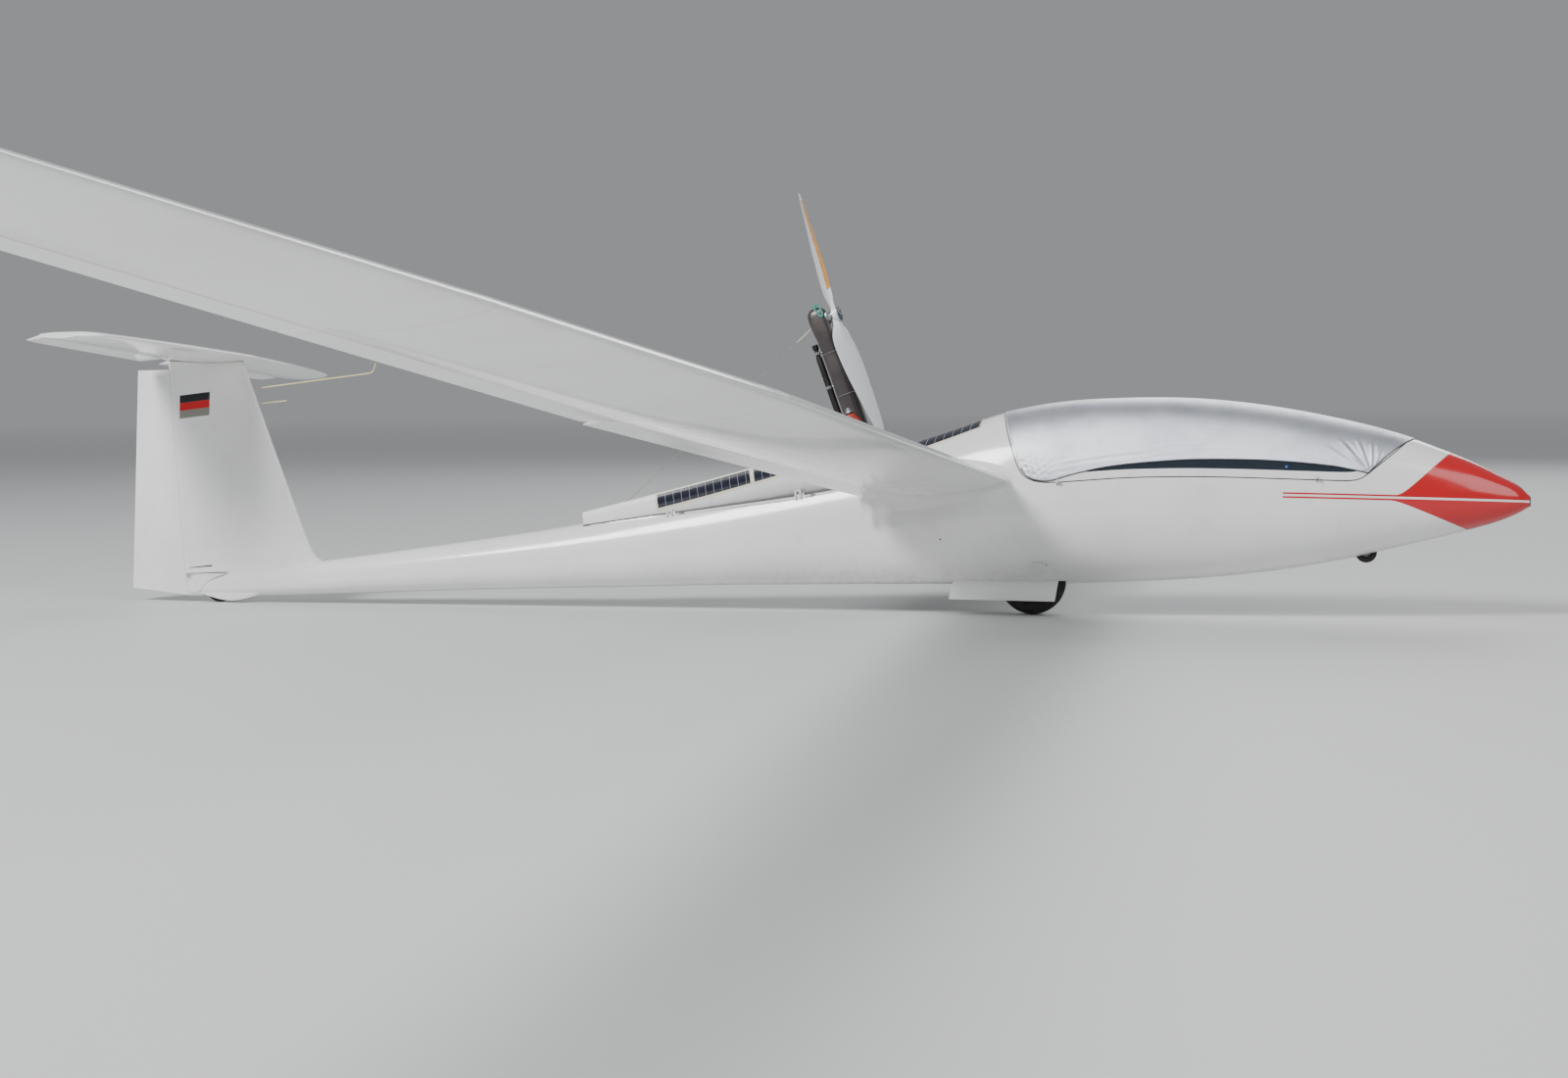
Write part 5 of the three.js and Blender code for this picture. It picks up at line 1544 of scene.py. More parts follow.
BOLT_CIRCLE = 0.035
plate_finish = mottled("hub_plate", "39404c", "555e6c", 60, 4, metallic=0.5, roughness=0.4)
plate = turned(
    "hub_plate",
    [(0, 0.046), (0.1, 0.050), (0.75, 0.050), (1, 0.044)],
    on_pylon(PYLON_LENGTH, 0.1162),
    on_pylon(PYLON_LENGTH, 0.1240),
)
bolts = []
for turn in np.arange(6) * np.pi / 3:
    spot = on_pylon(PYLON_LENGTH + BOLT_CIRCLE * math.cos(turn), 0.1236, BOLT_CIRCLE * math.sin(turn))
    head = [(0, 0.0055), (0.8, 0.0055), (1, 0.0045)]
    bolts.append(turned("bolt", head, spot, spot + pylon_fore * 0.0042, 6))
fasten(together("hub", [plate, *bolts]), plate_finish, "propeller", "steel", "propeller_hub")
flange = turned(
    "hub_flange",
    [(0, 0.024), (0.3, 0.024), (0.5, 0.030), (1, 0.030)],
    on_pylon(PYLON_LENGTH, PYLON_FACE + 0.0065),
    on_pylon(PYLON_LENGTH, 0.0797),
)
fasten(flange, alloy, "propeller", "steel")


# Wheels. Black tyres with ribbed tread on split alloy rims bolted together, each on an axle
# between the arms of a painted steel fork.
# Wheels: axle x and z, radius, width, rim radius, axle radius, grooves in the tread.
WHEELS = {
    "main_wheel": (0.0, 0.195, 0.195, 0.150, 0.082, 0.0155, (-0.030, 0.0, 0.030)),
    "nose_wheel": (1.919, 0.384, 0.061, 0.040, 0.026, 0.0055, (0.0,)),
    "tail_wheel": (-5.270, 0.099, 0.100, 0.050, 0.045, 0.0075, (-0.009, 0.009)),
}


def lathe(name, profile, x, z):
    """A closed profile of (radius, y) turned about an axle."""
    turn = np.linspace(0, 2 * np.pi, 72, endpoint=False)
    rings = [[(x + r * math.cos(t), y, z + r * math.sin(t)) for r, y in profile] for t in turn]
    return loft(name, rings, closed=True)


rubber = Finish("tyre_rubber", base_color=colour("1a1a1b"), roughness=0.8)
dusty = rubber.ramp(rubber.noise(28, 6), 0.45, 0.8)
rubber.lay(
    base_color=rubber.mix(colour("161617"), colour("4b463d"), dusty * 0.6),
    roughness=0.7 + dusty * 0.25,
)
rubber.relief(rubber.noise(300, 3), 0.0005)
for name, (x, z, radius, width, rim, axle, grooves) in WHEELS.items():
    half = width / 2
    flank = route([
        (rim, -0.70 * half),
        (rim + 0.12 * (radius - rim), -0.90 * half),
        (rim + 0.55 * (radius - rim), -0.995 * half),
        (radius * 0.93, -0.74 * half),
        (radius * 0.985, -0.44 * half),
    ], 16).tolist()
    tread = []
    for groove in grooves:
        crown = radius - 0.06 * radius * (abs(groove) / half) ** 2
        depth, slot = 0.022 * radius, 0.035 * half
        tread += [(crown, groove - slot), (crown - depth, groove - slot * 0.6)]
        tread += [(crown - depth, groove + slot * 0.6), (crown, groove + slot)]
    other = [(r, -y) for r, y in reversed(flank)]
    tyre = lathe(f"{name}_rubber", flank + tread + other, x, z)
    fasten(tyre, rubber, name, "tyre_rubber", f"{name}_tyre")
    edge = rim - JOINT_GAP
    near = [
        (axle, -0.80 * half),
        (0.35 * rim, -0.80 * half),
        (0.45 * rim, -0.45 * half),
        (0.74 * rim, -0.45 * half),
        (0.86 * rim, -0.78 * half),
        (edge, -0.68 * half),
    ]
    far = [(r, -y) for r, y in reversed(near)]
    parts = [lathe("rim", near + far, x, z)]
    for turn in np.arange(6) * np.pi / 3:
        spot = np.array((x + 0.60 * rim * math.cos(turn), 0.0, z + 0.60 * rim * math.sin(turn)))
        bolt = [(0, 0.06 * rim), (0.05, 0.075 * rim), (0.95, 0.075 * rim), (1, 0.06 * rim)]
        parts.append(turned("bolt", bolt, spot - (0, 0.52 * half, 0), spot + (0, 0.52 * half, 0), 6))
    fasten(together(f"{name}_alloy", parts), alloy, name, "rim_metal", f"{name}_rim")


# Forks and bearer. Welded steel, painted grey, under dust and scuffs: the wheels' forks, and the
# bearer across the bay whose cheeks hold the pylon's pin.
steelwork = Finish("steelwork", metallic=0.3, roughness=0.45, on_cad=True)
rubbed = steelwork.ramp(steelwork.noise(35, 6), 0.5, 0.75)
steelwork.lay(
    base_color=steelwork.mix(colour("8c9094"), colour("5e5a52"), rubbed * 0.6),
    roughness=0.38 + rubbed * 0.3,
).relief(rubbed, 0.0004)
for name in ("main_gear_fork", "nose_wheel_fork", "tail_wheel_fork", "pylon_bearer"):
    node = frame["nodes"][name]
    node.data.materials.clear()
    node.data.materials.append(steelwork.material)


# Gear doors. Two thin carbon lids in white gelcoat, which hang open from short hinges at the
# edges of the wheel well.
# A door in side view: x, z.
GEAR_DOOR = [(0.170, 0.205), (-0.455, 0.200), (-0.484, 0.082), (0.148, 0.076)]
GEAR_DOOR_INNER, GEAR_DOOR_DEPTH = 0.1065, 0.0035
GEAR_HINGES = (-0.350, -0.140, 0.060)
GEAR_HINGE_Z = 0.196
for side_name, side in SIDES:
    middle = np.mean(GEAR_DOOR, 0)
    rings = []
    for depth, inset in ((0, 0.002), (0.001, 0), (GEAR_DOOR_DEPTH - 0.001, 0), (GEAR_DOOR_DEPTH, 0.002)):
        ring = []
        for (x0, z0), (x1, z1) in zip(GEAR_DOOR, GEAR_DOOR[1:] + GEAR_DOOR[:1]):
            for t in np.linspace(0, 1, 12, endpoint=False):
                x, z = x0 + (x1 - x0) * t, z0 + (z1 - z0) * t
                pull = inset / max(np.hypot(x - middle[0], z - middle[1]), 0.01)
                x, z = x + (middle[0] - x) * pull, z + (middle[1] - z) * pull
                ring.append((x, side * (GEAR_DOOR_INNER + depth), z))
        rings.append(ring)
    lid = loft(f"gear_door_{side_name}_lid", rings)
    fasten(lid, wing_gelcoat, "airframe", "gelcoat", f"gear_door_{side_name}")
    barrel = [(0, 0.0035), (0.1, 0.0042), (0.9, 0.0042), (1, 0.0035)]
    barrels = []
    for x in GEAR_HINGES:
        y = side * (GEAR_DOOR_INNER + GEAR_DOOR_DEPTH)
        for start in (-0.020, -0.006, 0.008):
            line = [(x + start, y, GEAR_HINGE_Z), (x + start + 0.012, y, GEAR_HINGE_Z)]
            barrels.append(turned("barrel", barrel, *line, 12))
    fasten(together(f"gear_door_{side_name}_hinges", barrels), hinge_paint, "airframe", "steel")


# Probes. A bent total energy tube and a short pitot tube, both cream painted brass, pushed into
# sockets in the fin's leading edge.
probe_paint = mottled("probe_paint", "e3d9a8", "cfc08a", 40, 3, roughness=0.4)
# The probes in side view, from inside the fin: x, z.
LONG_PROBE = [
    (-5.000, 1.373),
    (-4.600, 1.4199),
    (-4.252, 1.4607),
    (-4.232, 1.4700),
    (-4.222, 1.492),
    (-4.211, 1.524),
]
PITOT = [(-5.000, 1.273), (-4.900, 1.282), (-4.823, 1.289)]
for name, route_points, radius, node in (
    ("total_energy_tube", LONG_PROBE, 0.0046, "probe_total_energy"),
    ("pitot_tube", PITOT, 0.0040, "probe_pitot"),
):
    path = route([(x, 0, z) for x, z in route_points], 60)
    taper = (1, 1, 0.8, 0.7)
    sizes = radius * np.interp(np.linspace(0, 1, 60), (0, 0.93, 0.97, 1), taper)
    fasten(tube(name, path, sizes, 12), probe_paint, "airframe", "steel", node, sharp=60)


# Small fairings. The nose carries a dark ventilation inlet. An air door stands open low on the
# starboard side over painted shade for its opening, and each side has a static port. At the tail
# are a painted shadow under the slot for the rudder's drive, a fairing for that drive, and skirts
# round the tail wheel.
# This dark rubber finish also colours two thin patches that are painted shade: the air door's opening and
# the rudder drive's slot.
dark_rubber_and_shade = mottled("dark_rubber_and_painted_shade", "121317", "2b2d33", 70, 3, base_color=colour("15161a"), roughness=0.5)
NOSE_HEIGHT = 0.676
STATIC_PORT = (-0.501, 0.434)
inlet = turned(
    "nose_inlet",
    [(0, 0.030), (0.5, 0.0305), (0.8, 0.029), (1, 0.024)],
    (2.808, 0, NOSE_HEIGHT),
    (2.8195, 0, NOSE_HEIGHT),
    48,
)
fasten(inlet, dark_rubber_and_shade, "airframe", "tyre_rubber")

# An air door that stands open at its top, over a dark patch of painted shade for its opening: x, z,
# distance off the skin.
AIR_DOOR = [(0.124, 0.292, 0.026), (0.036, 0.297, 0.024), (0.039, 0.242, 0.004), (0.080, 0.241, 0.004)]
air_door = loft("air_door", [
    [(x, -skin_half(x, z)[0] - off - depth, z + off * 0.2) for x, z, off in AIR_DOOR]
    for depth in (0, 0.003)
])
fasten(air_door, wing_gelcoat, "airframe", "gelcoat")
# The opening is a thin dark patch on the skin: painted shade for the hollow behind the door.
opening_shade = loft("air_opening_shade", [
    [(x, -skin_half(x, z)[0] - depth, z) for x, z, _ in AIR_DOOR] for depth in (-0.006, 0.0008)
])
fasten(opening_shade, dark_rubber_and_shade, "airframe", "tyre_rubber")
for side_name, side in SIDES:
    x, z = STATIC_PORT
    y = side * skin_half(x, z)[0]
    port = turned(
        f"static_port_{side_name}",
        [(0, 0.006), (0.7, 0.006), (1, 0.0045)],
        (x, y * 0.99, z),
        (x, y + side * 0.0008, z),
        20,
    )
    fasten(port, dark_rubber_and_shade, "airframe", "steel")

# The rudder drive's slot is a thin dark strip on the fin: painted shadow under the slot's upper edge.
DRIVE_SLOT_SHADOW = [(-5.478, 0.2125), (-5.312, 0.2250), (-5.309, 0.2345), (-5.478, 0.2160)]
slot = loft("rudder_drive_slot_shadow", [
    [(x, -fin_half(x, z) - depth, z) for x, z in DRIVE_SLOT_SHADOW] for depth in (-0.006, 0.0006)
])
fasten(slot, dark_rubber_and_shade, "airframe", "tyre_rubber")

# The drive fairing is a shelf over a web whose lower edge, in side view, is x, z.
DRIVE_WEB = [
    (-5.472, 0.176),
    (-5.440, 0.122),
    (-5.400, 0.061),
    (-5.370, 0.096),
    (-5.325, 0.134),
    (-5.270, 0.160),
    (-5.222, 0.176),
]
SHELF_TOP, SHELF_REAR, SHELF_FRONT = 0.194, -5.500, -5.196
shelf = []
for share in np.linspace(0, 1, 30):
    x = SHELF_REAR + (SHELF_FRONT - SHELF_REAR) * share
    out, deep = 0.004 + 0.030 * (1 - share) ** 0.6, 0.002 + 0.015 * (1 - share)
    edge = skin_half(max(x, TAIL_END), 0.095)[0] + out
    column = [(0.020, 0), (edge - 0.003, 0), (edge, 0.3), (edge, 0.7), (edge - 0.003, 1), (0.020, 1)]
    shelf.append([(x, -y, SHELF_TOP - deep * part) for y, part in column])
web = []
for share in np.linspace(0, 1, 30):
    x = DRIVE_WEB[0][0] + (DRIVE_WEB[-1][0] - DRIVE_WEB[0][0]) * share
    low = np.interp(x, *np.transpose(DRIVE_WEB))
    skin = skin_half(max(x, TAIL_END), 0.095)[0] + 0.003
    top = SHELF_TOP - 0.012
    out = 0.012 * min((top - low) / 0.06, 1)
    foot = min(low, top - 0.001)
    web.append([(x, -0.02, top), (x, -skin - out, top), (x, -skin, foot), (x, -0.02, foot)])
# Both are cut away round the tail wheel.
hollowed = [
    cut(loft(name, rings), block(*TAIL_SLOT)) for name, rings in (("shelf", shelf), ("web", web))
]
fasten(together("rudder_drive_fairing", hollowed), wing_gelcoat, "airframe", "gelcoat")

SKIRT_FRONT, SKIRT_LENGTH, SKIRT_TOP, SKIRT_INNER = -4.965, 0.425, 0.060, 0.0345
skirts = []
for side in (1, -1):
    rings = []
    for share in np.linspace(0.01, 0.99, 30):
        x = SKIRT_FRONT - SKIRT_LENGTH * share
        low = 0.050 - 0.041 * math.sin(math.pi * share) ** 1.2
        skin = skin_half(x, SKIRT_TOP)[0] - 0.001
        column = [
            (x, side * (skin - max(skin - 0.0375, 0) * turn**2), SKIRT_TOP + (low - SKIRT_TOP) * turn)
            for turn in np.linspace(0, 1, 9)
        ]
        inner = side * SKIRT_INNER
        rings.append([(x, inner, SKIRT_TOP), *column, (x, inner, low)])
    skirts.append(loft("skirt", rings))
fasten(together("tail_wheel_skirts", skirts), wing_gelcoat, "airframe", "gelcoat")


# Wing tip skids. A smooth shoe of hard nylon, fixed under each tip, takes the ground when the
# aircraft is parked.
# A skid: x, y, lowest z, and half its length, width and height.
TIP_SKID = (-0.620, 12.900, 1.0795, 0.130, 0.028, 0.026)
skid_finish = Finish("skid_nylon", roughness=0.55)
rubbed_skid = skid_finish.ramp(skid_finish.noise(50, 4), 0.4, 0.7)
skid_finish.lay(base_color=skid_finish.mix(colour("e2e2dc"), colour("8f8a7e"), rubbed_skid))
for side_name, side in SIDES:
    x, y, bottom, length, width, height = TIP_SKID
    rings = []
    for lean in np.linspace(-0.97, 0.97, 21):
        reach = math.sqrt(1 - lean * lean)
        ring = []
        for turn in np.linspace(0, 2 * np.pi, 20, endpoint=False):
            out = side * (y + width * reach * math.cos(turn))
            ring.append((x + length * lean, out, bottom + height + height * reach * math.sin(turn)))
        rings.append(ring)
    fasten(loft(f"tip_skid_{side_name}", rings), skid_finish, "airframe", "gelcoat")


# Seats. Grey carbon shells, each with a foam pad on its pan and one on its back, sewn in cloth
# with lengthwise channels, and a four-strap harness with a round buckle.
SEATS = (("front", 1.120), ("rear", 0.180))
SEAT_HALF = 0.205
SEAT_ROUNDING = 0.004
# The shell in side view, from the seat's station: x, z.
SEAT_SHELL = [
    (0.56, 0.12),
    (0.56, 0.352),
    (0.50, 0.364),
    (0.15, 0.335),
    (0.02, 0.375),
    (-0.03, 0.450),
    (-0.205, 0.884),
    (-0.218, 0.886),
    (-0.07, 0.430),
    (-0.06, 0.12),
]
# Pads in side view from the seat's station, along their upper faces: line, half width, depth.
PADS = {
    "pan": ([(0.545, 0.398), (0.49, 0.404), (0.32, 0.388), (0.15, 0.376), (0.075, 0.392)], 0.188, 0.030),
    "back": ([(0.000, 0.462), (-0.05, 0.585), (-0.105, 0.720), (-0.163, 0.872)], 0.178, 0.030),
}
CHANNELS = (-0.123, -0.041, 0.041, 0.123)
CHANNEL_DEPTH, CHANNEL_WIDTH = 0.0065, 0.0075
VOXEL = 0.0075
SWELL_LIMIT = 0.013
PAD_PRESSURE = 4.0
WEBBING_HALF, WEBBING_DEPTH, WEBBING_LIFT = 0.022, 0.0011, 0.005
# Straps from the seat's station, a little above the pads that they settle on: x, y, z.
SHOULDER_STRAP = [
    (-0.150, 0.075, 0.887),
    (-0.090, 0.06175, 0.752),
    (-0.020, 0.0485, 0.602),
    (0.045, 0.03525, 0.482),
    (0.140, 0.022, 0.422),
]
LAP_STRAP = [(0.100, 0.178, 0.430), (0.140, 0.100, 0.415), (0.165, 0.030, 0.412)]

shell_finish = mottled("seat_shell", "8a8d90", "6f7276", 30, 5, roughness=0.55)
upholstery = Finish("upholstery", roughness=0.9, sheen_weight=0.3)
warp = upholstery.ribs("X", 190)
weft = upholstery.ribs("Y", 190)
stitched = abs((upholstery.y + 0.041) % 0.082 - 0.041) > 0.0398
cloth_colour = upholstery.mix(colour("66707c"), colour("4f5964"), warp)
upholstery.lay(base_color=upholstery.mix(cloth_colour, colour("2a2e35"), stitched))
upholstery.relief(warp * weft, 0.0010)
webbing = Finish("webbing", roughness=0.75)
ribs = webbing.ribs("X", 240)
webbing.lay(base_color=webbing.mix(colour("1d2b47"), colour("2f4268"), ribs)).relief(ribs, 0.0006)


def within_cockpit(piece):
    """Trims a piece to the inside of the fuselage."""
    return combine(piece, loft("cutter", hull_rings(*COCKPIT, 0.08, 48, SKIN + 0.004)), "INTERSECT")


def pad(name, line, half, depth):
    """A pad's cut foam, a rounded slab under a line in side view."""
    path = route(line, 48)
    tangent = np.gradient(path, axis=0)
    tangent /= np.linalg.norm(tangent, axis=1)[:, None]
    normal = np.stack([-tangent[:, 1], tangent[:, 0]], -1)
    normal *= np.sign(normal[:, 1:] + 0.4 * normal[:, :1])
    turn = np.linspace(0, 2 * np.pi, 56, endpoint=False)
    rings = []
    for share, (x, z), (nx, nz) in zip(np.linspace(-1, 1, len(path)), path, normal):
        wide = half * (1 - 0.17 * abs(share) ** 9)
        thick = depth * math.sqrt(max(1 - abs(share) ** 12, 0.02))
        across = wide * np.sign(np.cos(turn)) * np.abs(np.cos(turn)) ** 0.32
        up = thick / 2 * np.sign(np.sin(turn)) * np.abs(np.sin(turn)) ** 0.5 - depth / 2
        rings.append(np.stack([x + nx * up, across, z + nz * up], -1))
    return loft(name, rings)


def coordinates(piece):
    place = np.empty(len(piece.data.vertices) * 3, np.float32)
    piece.data.vertices.foreach_get("co", place)
    return place.reshape(-1, 3)


def plump(piece):
    """Fills a pad's cover from inside until it crowns, then sews its channels down."""
    even = piece.modifiers.new("even", "REMESH")
    even.mode = "VOXEL"
    even.voxel_size = VOXEL
    settle(piece)
    flat = coordinates(piece)
    cover_cloth = piece.modifiers.new("cover", "CLOTH")
    cover_cloth.settings.use_pressure = True
    cover_cloth.settings.uniform_pressure_force = PAD_PRESSURE
    cover_cloth.settings.effector_weights.gravity = 0
    cover_cloth.point_cache.frame_start = 1
    cover_cloth.point_cache.frame_end = 20
    for frame_number in range(1, 21):
        bpy.context.scene.frame_set(frame_number)
    settle(piece)
    bpy.context.scene.frame_set(1)
    moved = coordinates(piece) - flat
    length = np.maximum(np.linalg.norm(moved, axis=1), 1e-9)
    swollen = flat + moved * np.minimum(SWELL_LIMIT / length, 1)[:, None]
    piece.data.vertices.foreach_set("co", swollen.ravel())
    piece.data.update()
    soft = piece.modifiers.new("soft", "SUBSURF")
    soft.levels = 1
    settle(piece)
    place = coordinates(piece)
    normal = np.empty(len(place) * 3, np.float32)
    piece.data.vertices.foreach_get("normal", normal)
    normal = normal.reshape(-1, 3)
    depth = sum(np.exp(-(((place[:, 1] - at) / CHANNEL_WIDTH) ** 2)) for at in CHANNELS) * CHANNEL_DEPTH
    facing = np.clip(normal[:, 2] + 0.5 * normal[:, 0], 0, 1)
    place -= normal * (depth * facing)[:, None]
    piece.data.vertices.foreach_set("co", place.ravel())
    piece.data.update()
    return piece


def ribbon(line, pads):
    """A strap that lies on the pads, through points a little above them."""
    path = route(line, 48)
    trees = [BVHTree.FromObject(each, bpy.context.evaluated_depsgraph_get()) for each in pads]
    rests, normals = [], []
    for point in path:
        near = min((tree.find_nearest(Vector(point)) for tree in trees), key=lambda hit: hit[3])
        rests.append(near[0])
        normals.append(near[1])
    rests, normals = np.array(rests), np.array(normals)
    for _ in range(12):
        rests[1:-1] = (rests[:-2] + 2 * rests[1:-1] + rests[2:]) / 4
        normals[1:-1] = (normals[:-2] + 2 * normals[1:-1] + normals[2:]) / 4
    tangent = np.gradient(rests, axis=0)
    rings = []
    for rest, up, along in zip(rests, normals, tangent):
        up = up / np.linalg.norm(up)
        wide = np.cross(up, along)
        wide /= np.linalg.norm(wide)
        middle = rest + up * WEBBING_LIFT
        rings.append([
            middle + wide * across * WEBBING_HALF + up * lift * WEBBING_DEPTH
            for across, lift in ((1, 1), (-1, 1), (-1, -1), (1, -1))
        ])
    return loft("strap", rings)


plumped = {}
for part, (line, half, depth) in PADS.items():
    plumped[part] = plump(pad(part, [(x + SEATS[0][1], z) for x, z in line], half, depth))
for name, x in SEATS:
    outline = [(x + ahead, z) for ahead, z in SEAT_SHELL]
    bucket = prism(f"seat_bucket_{name}", outline, -SEAT_HALF, SEAT_HALF)
    within_cockpit(bucket)
    cut(bucket, block(*WHEEL_WELL, SKIN))
    rounding = bucket.modifiers.new("edges", "BEVEL")
    rounding.width = SEAT_ROUNDING
    rounding.segments = 3
    settle(bucket)
    fasten(bucket, shell_finish, "airframe", "upholstery", f"seat_{name}")
    pads = []
    for part, source in plumped.items():
        cushion = bpy.data.objects.new(f"seat_{part}_pad_{name}", source.data.copy())
        bpy.context.scene.collection.objects.link(cushion)
        cushion.data.transform(Matrix.Translation((x - SEATS[0][1], 0, 0)))
        pads.append(cushion)
    straps = []
    for side in (1, -1):
        for strap in (SHOULDER_STRAP, LAP_STRAP):
            straps.append(ribbon([(x + ahead, side * y, z) for ahead, y, z in strap], pads))
    for cushion in pads:
        fasten(cushion, upholstery, "airframe", "upholstery", f"seat_{name}", sharp=75)
    fasten(together(f"harness_{name}", straps), webbing, "airframe", "upholstery")
    buckle = turned(
        f"harness_buckle_{name}",
        [(0, 0.026), (0.2, 0.031), (0.6, 0.031), (0.9, 0.027), (1, 0.020)],
        (x + 0.160, 0, 0.398),
        (x + 0.163, 0, 0.412),
    )
    fasten(buckle, alloy, "airframe", "steel")
for source in plumped.values():
    bpy.data.objects.remove(source)


# Instrument panels. A moulded pod on a pedestal ahead of each seat, trimmed to the cockpit's
# sides, with rows of round dials in black bezels.
# Panels: x of the face's foot, lowest z, highest z.
PANELS = (("front", 1.790, 0.590, 1.000), ("rear", 0.790, 0.640, 1.020))
PANEL_LEAN = 0.02
DIAL_PITCH = 0.086
DIAL = 0.034
BEZEL = 0.0030
pod_finish = mottled("panel_pod", "2a2d30", "3b3f43", 90, 4, roughness=0.6)
pod_finish.relief(pod_finish.noise(350, 2), 0.0004)
dial_finish = Finish("dial", roughness=0.35, coat_weight=1.0, coat_roughness=0.03)
across = (dial_finish.y + 20 * DIAL_PITCH + DIAL_PITCH / 2) % DIAL_PITCH - DIAL_PITCH / 2
upward = dial_finish.z % DIAL_PITCH - DIAL_PITCH / 2
reach = (across * across + upward * upward) ** 0.5
turn = dial_finish.add("Math", {"operation": "ARCTAN2"}, {0: upward, 1: across})
tick = (((turn + 4.0) % (math.pi / 8)) < 0.10) * band(dial_finish, reach, 0.0225, 0.0270, 0.0004)
needle = (abs(across - upward * 0.6) < 0.0011) * (reach < 0.021) * (upward > -0.004)
dial_finish.lay(base_color=dial_finish.mix(colour("0f1011"), colour("e8e8e2"), tick + needle))
for name, x, low, high in PANELS:
    rings = []
    for depth, size in ((0.000, 0.94), (0.004, 0.99), (0.010, 1.0), (0.036, 1.0), (0.044, 0.97)):
        middle = (low + high) / 2
        ring = []
        for y, up in oblong(0.166, -0.166, (high - low) / 2, 3.6, 48):
            z = middle + up * size
            share = (z - low) / (high - low)
            ring.append((x + depth + PANEL_LEAN * share, y * size * (0.80 + 0.20 * share), z))
        rings.append(ring)
    front, rear = x + 0.036, x + 0.004
    post = [(rear, 0.12), (front, 0.12), (front, low + 0.04), (rear, low + 0.04)]
    pod = together(f"panel_pod_{name}", [loft("pod", rings), prism("post", post, -0.05, 0.05)])
    within_cockpit(pod)
    fasten(pod, pod_finish, "airframe", "panel", f"instrument_panel_{name}")
    faces, bezels = [], []
    for row in range(math.ceil((low + 0.07) / DIAL_PITCH), math.floor((high - 0.05) / DIAL_PITCH)):
        z = (row + 0.5) * DIAL_PITCH
        for y in (-DIAL_PITCH, 0.0, DIAL_PITCH):
            face_x = x + PANEL_LEAN * (z - low) / (high - low)
            disc = [(0, DIAL * 0.86), (1, DIAL * 0.86)]
            faces.append(turned("face", disc, (face_x - 0.001, y, z), (face_x + 0.004, y, z)))
            circle = [
                (face_x - 0.001, y + DIAL * 0.93 * math.cos(t), z + DIAL * 0.93 * math.sin(t))
                for t in np.linspace(0, 2 * np.pi, 40, endpoint=False)
            ]
            bezels.append(tube("bezel", circle, BEZEL, 8, closed=True))
    for label, group, finish in (("dials", faces, dial_finish), ("bezels", bezels, dark_rubber_and_shade)):
        fasten(together(f"{label}_{name}", group), finish, "airframe", "panel")


# Control sticks. A dark painted tube with a waisted rubber grip, in a pleated gaiter on the
# cockpit's floor.
STICKS = (("front", 1.720), ("rear", 0.765))
STICK = 0.0095
# Grip: share of its length, radius.
GRIP = [
    (0, 0.012),
    (0.1, 0.016),
    (0.3, 0.0145),
    (0.5, 0.016),
    (0.7, 0.0145),
    (0.9, 0.0155),
    (1, 0.010),
]
for name, x in STICKS:
    floor_height = smooth(FUSELAGE, x)[0][1] + SKIN
    shaft_path = route([(x, 0, floor_height), (x, 0, 0.48), (x - 0.004, 0, 0.52)], 20)
    shaft = tube("shaft", shaft_path, STICK, 16)
    grip_path = route([(x - 0.002, 0, 0.51), (x - 0.014, 0, 0.560), (x - 0.030, 0, 0.612)], 24)
    grip = tube("grip", grip_path, np.interp(np.linspace(0, 1, 24), *np.transpose(GRIP)), 20)
    pleats = [(k / 12, 0.060 - 0.044 * k / 12 + 0.004 * (k % 2)) for k in range(13)]
    gaiter = turned("gaiter", pleats, (x, 0, floor_height + 0.001), (x, 0, floor_height + 0.075), 28)
    stick = together(f"stick_{name}", [shaft, grip, gaiter])
    fasten(stick, dark_rubber_and_shade, "airframe", "panel", f"control_stick_{name}")


# Engine. A compact liquid-cooled two-stroke of cast alloy in the front of the bay. Its ribbed
# block and plain head are dark with heat and soot.
ENGINE_FRONT, ENGINE_REAR, ENGINE_HALF = -0.668, -0.872, 0.118
ENGINE_LOW, ENGINE_TOP = 0.225, 0.596
ENGINE_HEAD = 0.03
RIB_PITCH, RIB = 0.014, 0.005


def engine_slab(name, power, levels):
    """A rounded slab of the engine's plan: heights, and how far each is drawn in."""
    rings = []
    for height, inset in levels:
        plan = oblong(ENGINE_FRONT - inset, ENGINE_REAR + inset, ENGINE_HALF - inset, power, 36)
        rings.append([(fore, y, height) for fore, y in plan])
    return loft(name, rings)


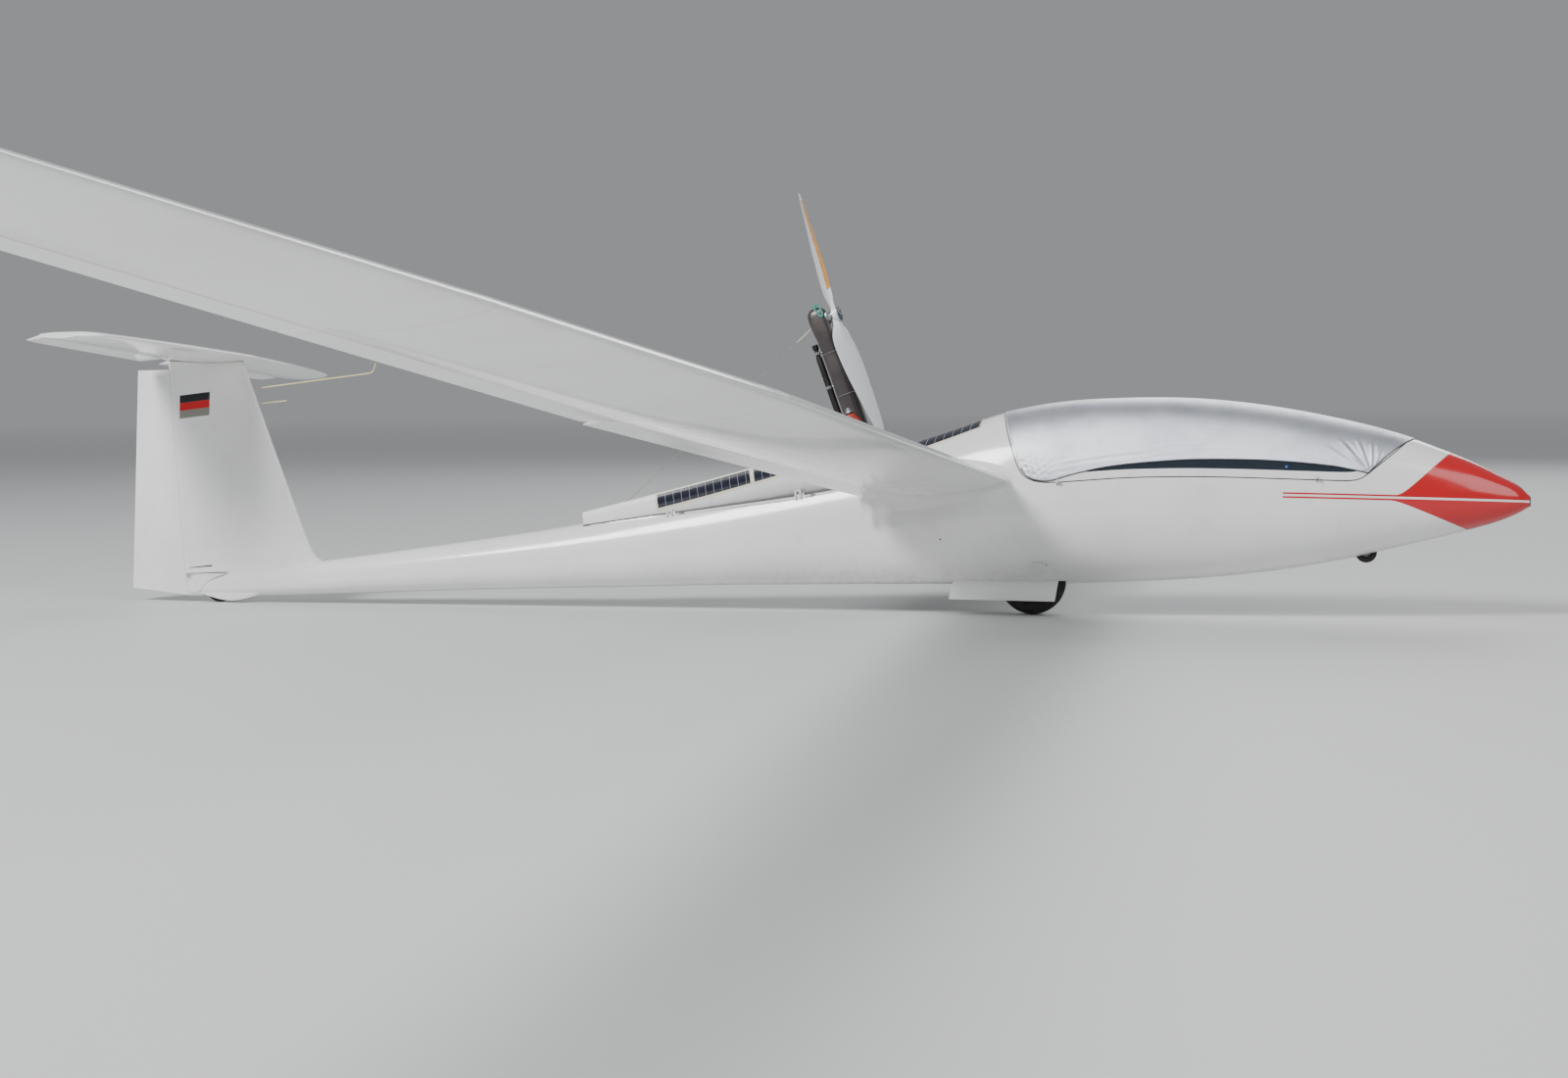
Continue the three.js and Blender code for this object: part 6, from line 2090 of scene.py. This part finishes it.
head = ENGINE_TOP - ENGINE_HEAD
core = [
    (ENGINE_FRONT - 0.03, ENGINE_LOW),
    (ENGINE_REAR + 0.02, ENGINE_LOW),
    (ENGINE_REAR + 0.02, head),
    (ENGINE_FRONT - 0.03, head),
]
parts = [prism("core", core, -ENGINE_HALF + 0.02, ENGINE_HALF - 0.02)]
for height in np.arange(ENGINE_LOW + 0.02, ENGINE_TOP - 0.02, RIB_PITCH):
    parts.append(engine_slab("rib", 5, ((height, 0), (height + RIB, 0))))
parts.append(engine_slab("head", 4, ((head, 0.004), (head + 0.02, 0.004), (head + 0.028, 0.012))))
fasten(together("engine_casing", parts), soot, "airframe", "engine_metal", "engine_block")


# Floor and lights. A plain pale floor that fades into an equally pale surround, under three large
# soft lamps and an even sky.
FLOOR_SIZE = 140
FLOOR_CLEAR, FLOOR_GONE = 22.0, 60.0
SKY_STRENGTH = 0.5
AIM = (0, 0, 0.6)
SURROUND = colour("c9ccd0")

bpy.ops.mesh.primitive_plane_add(size=FLOOR_SIZE)
floor = bpy.context.object
floor.name = "floor"
floor_finish = Finish("floor_finish", base_color=colour("cfd0d0"), roughness=0.6)
middle = floor_finish.add("TexCoord", {}, {}, 3)
reach = floor_finish.add("VectorMath", {"operation": "LENGTH"}, {0: middle}, 1)
floor_finish.lay(alpha=1 - floor_finish.ramp(reach, FLOOR_CLEAR, FLOOR_GONE))
floor.data.materials.append(floor_finish.material)

world = bpy.data.worlds.new("surround")
world.use_nodes = True
world.node_tree.nodes["Background"].inputs["Color"].default_value = SURROUND
world.node_tree.nodes["Background"].inputs["Strength"].default_value = SKY_STRENGTH
bpy.context.scene.world = world

# Lamps: place, width, power.
LAMPS = [
    ("key_lamp", (-9, -15, 15), 7, 5200),
    ("fill_lamp", (14, -9, 10), 10, 900),
    ("back_lamp", (3, 17, 12), 12, 1500),
]
for name, place, size, power in LAMPS:
    lamp = bpy.data.objects.new(name, bpy.data.lights.new(name, "AREA"))
    lamp.data.size = size
    lamp.data.energy = power
    lamp.location = place
    lamp.rotation_mode = "QUATERNION"
    lamp.rotation_quaternion = (Vector(AIM) - lamp.location).to_track_quat("-Z", "Y")
    bpy.context.scene.collection.objects.link(lamp)
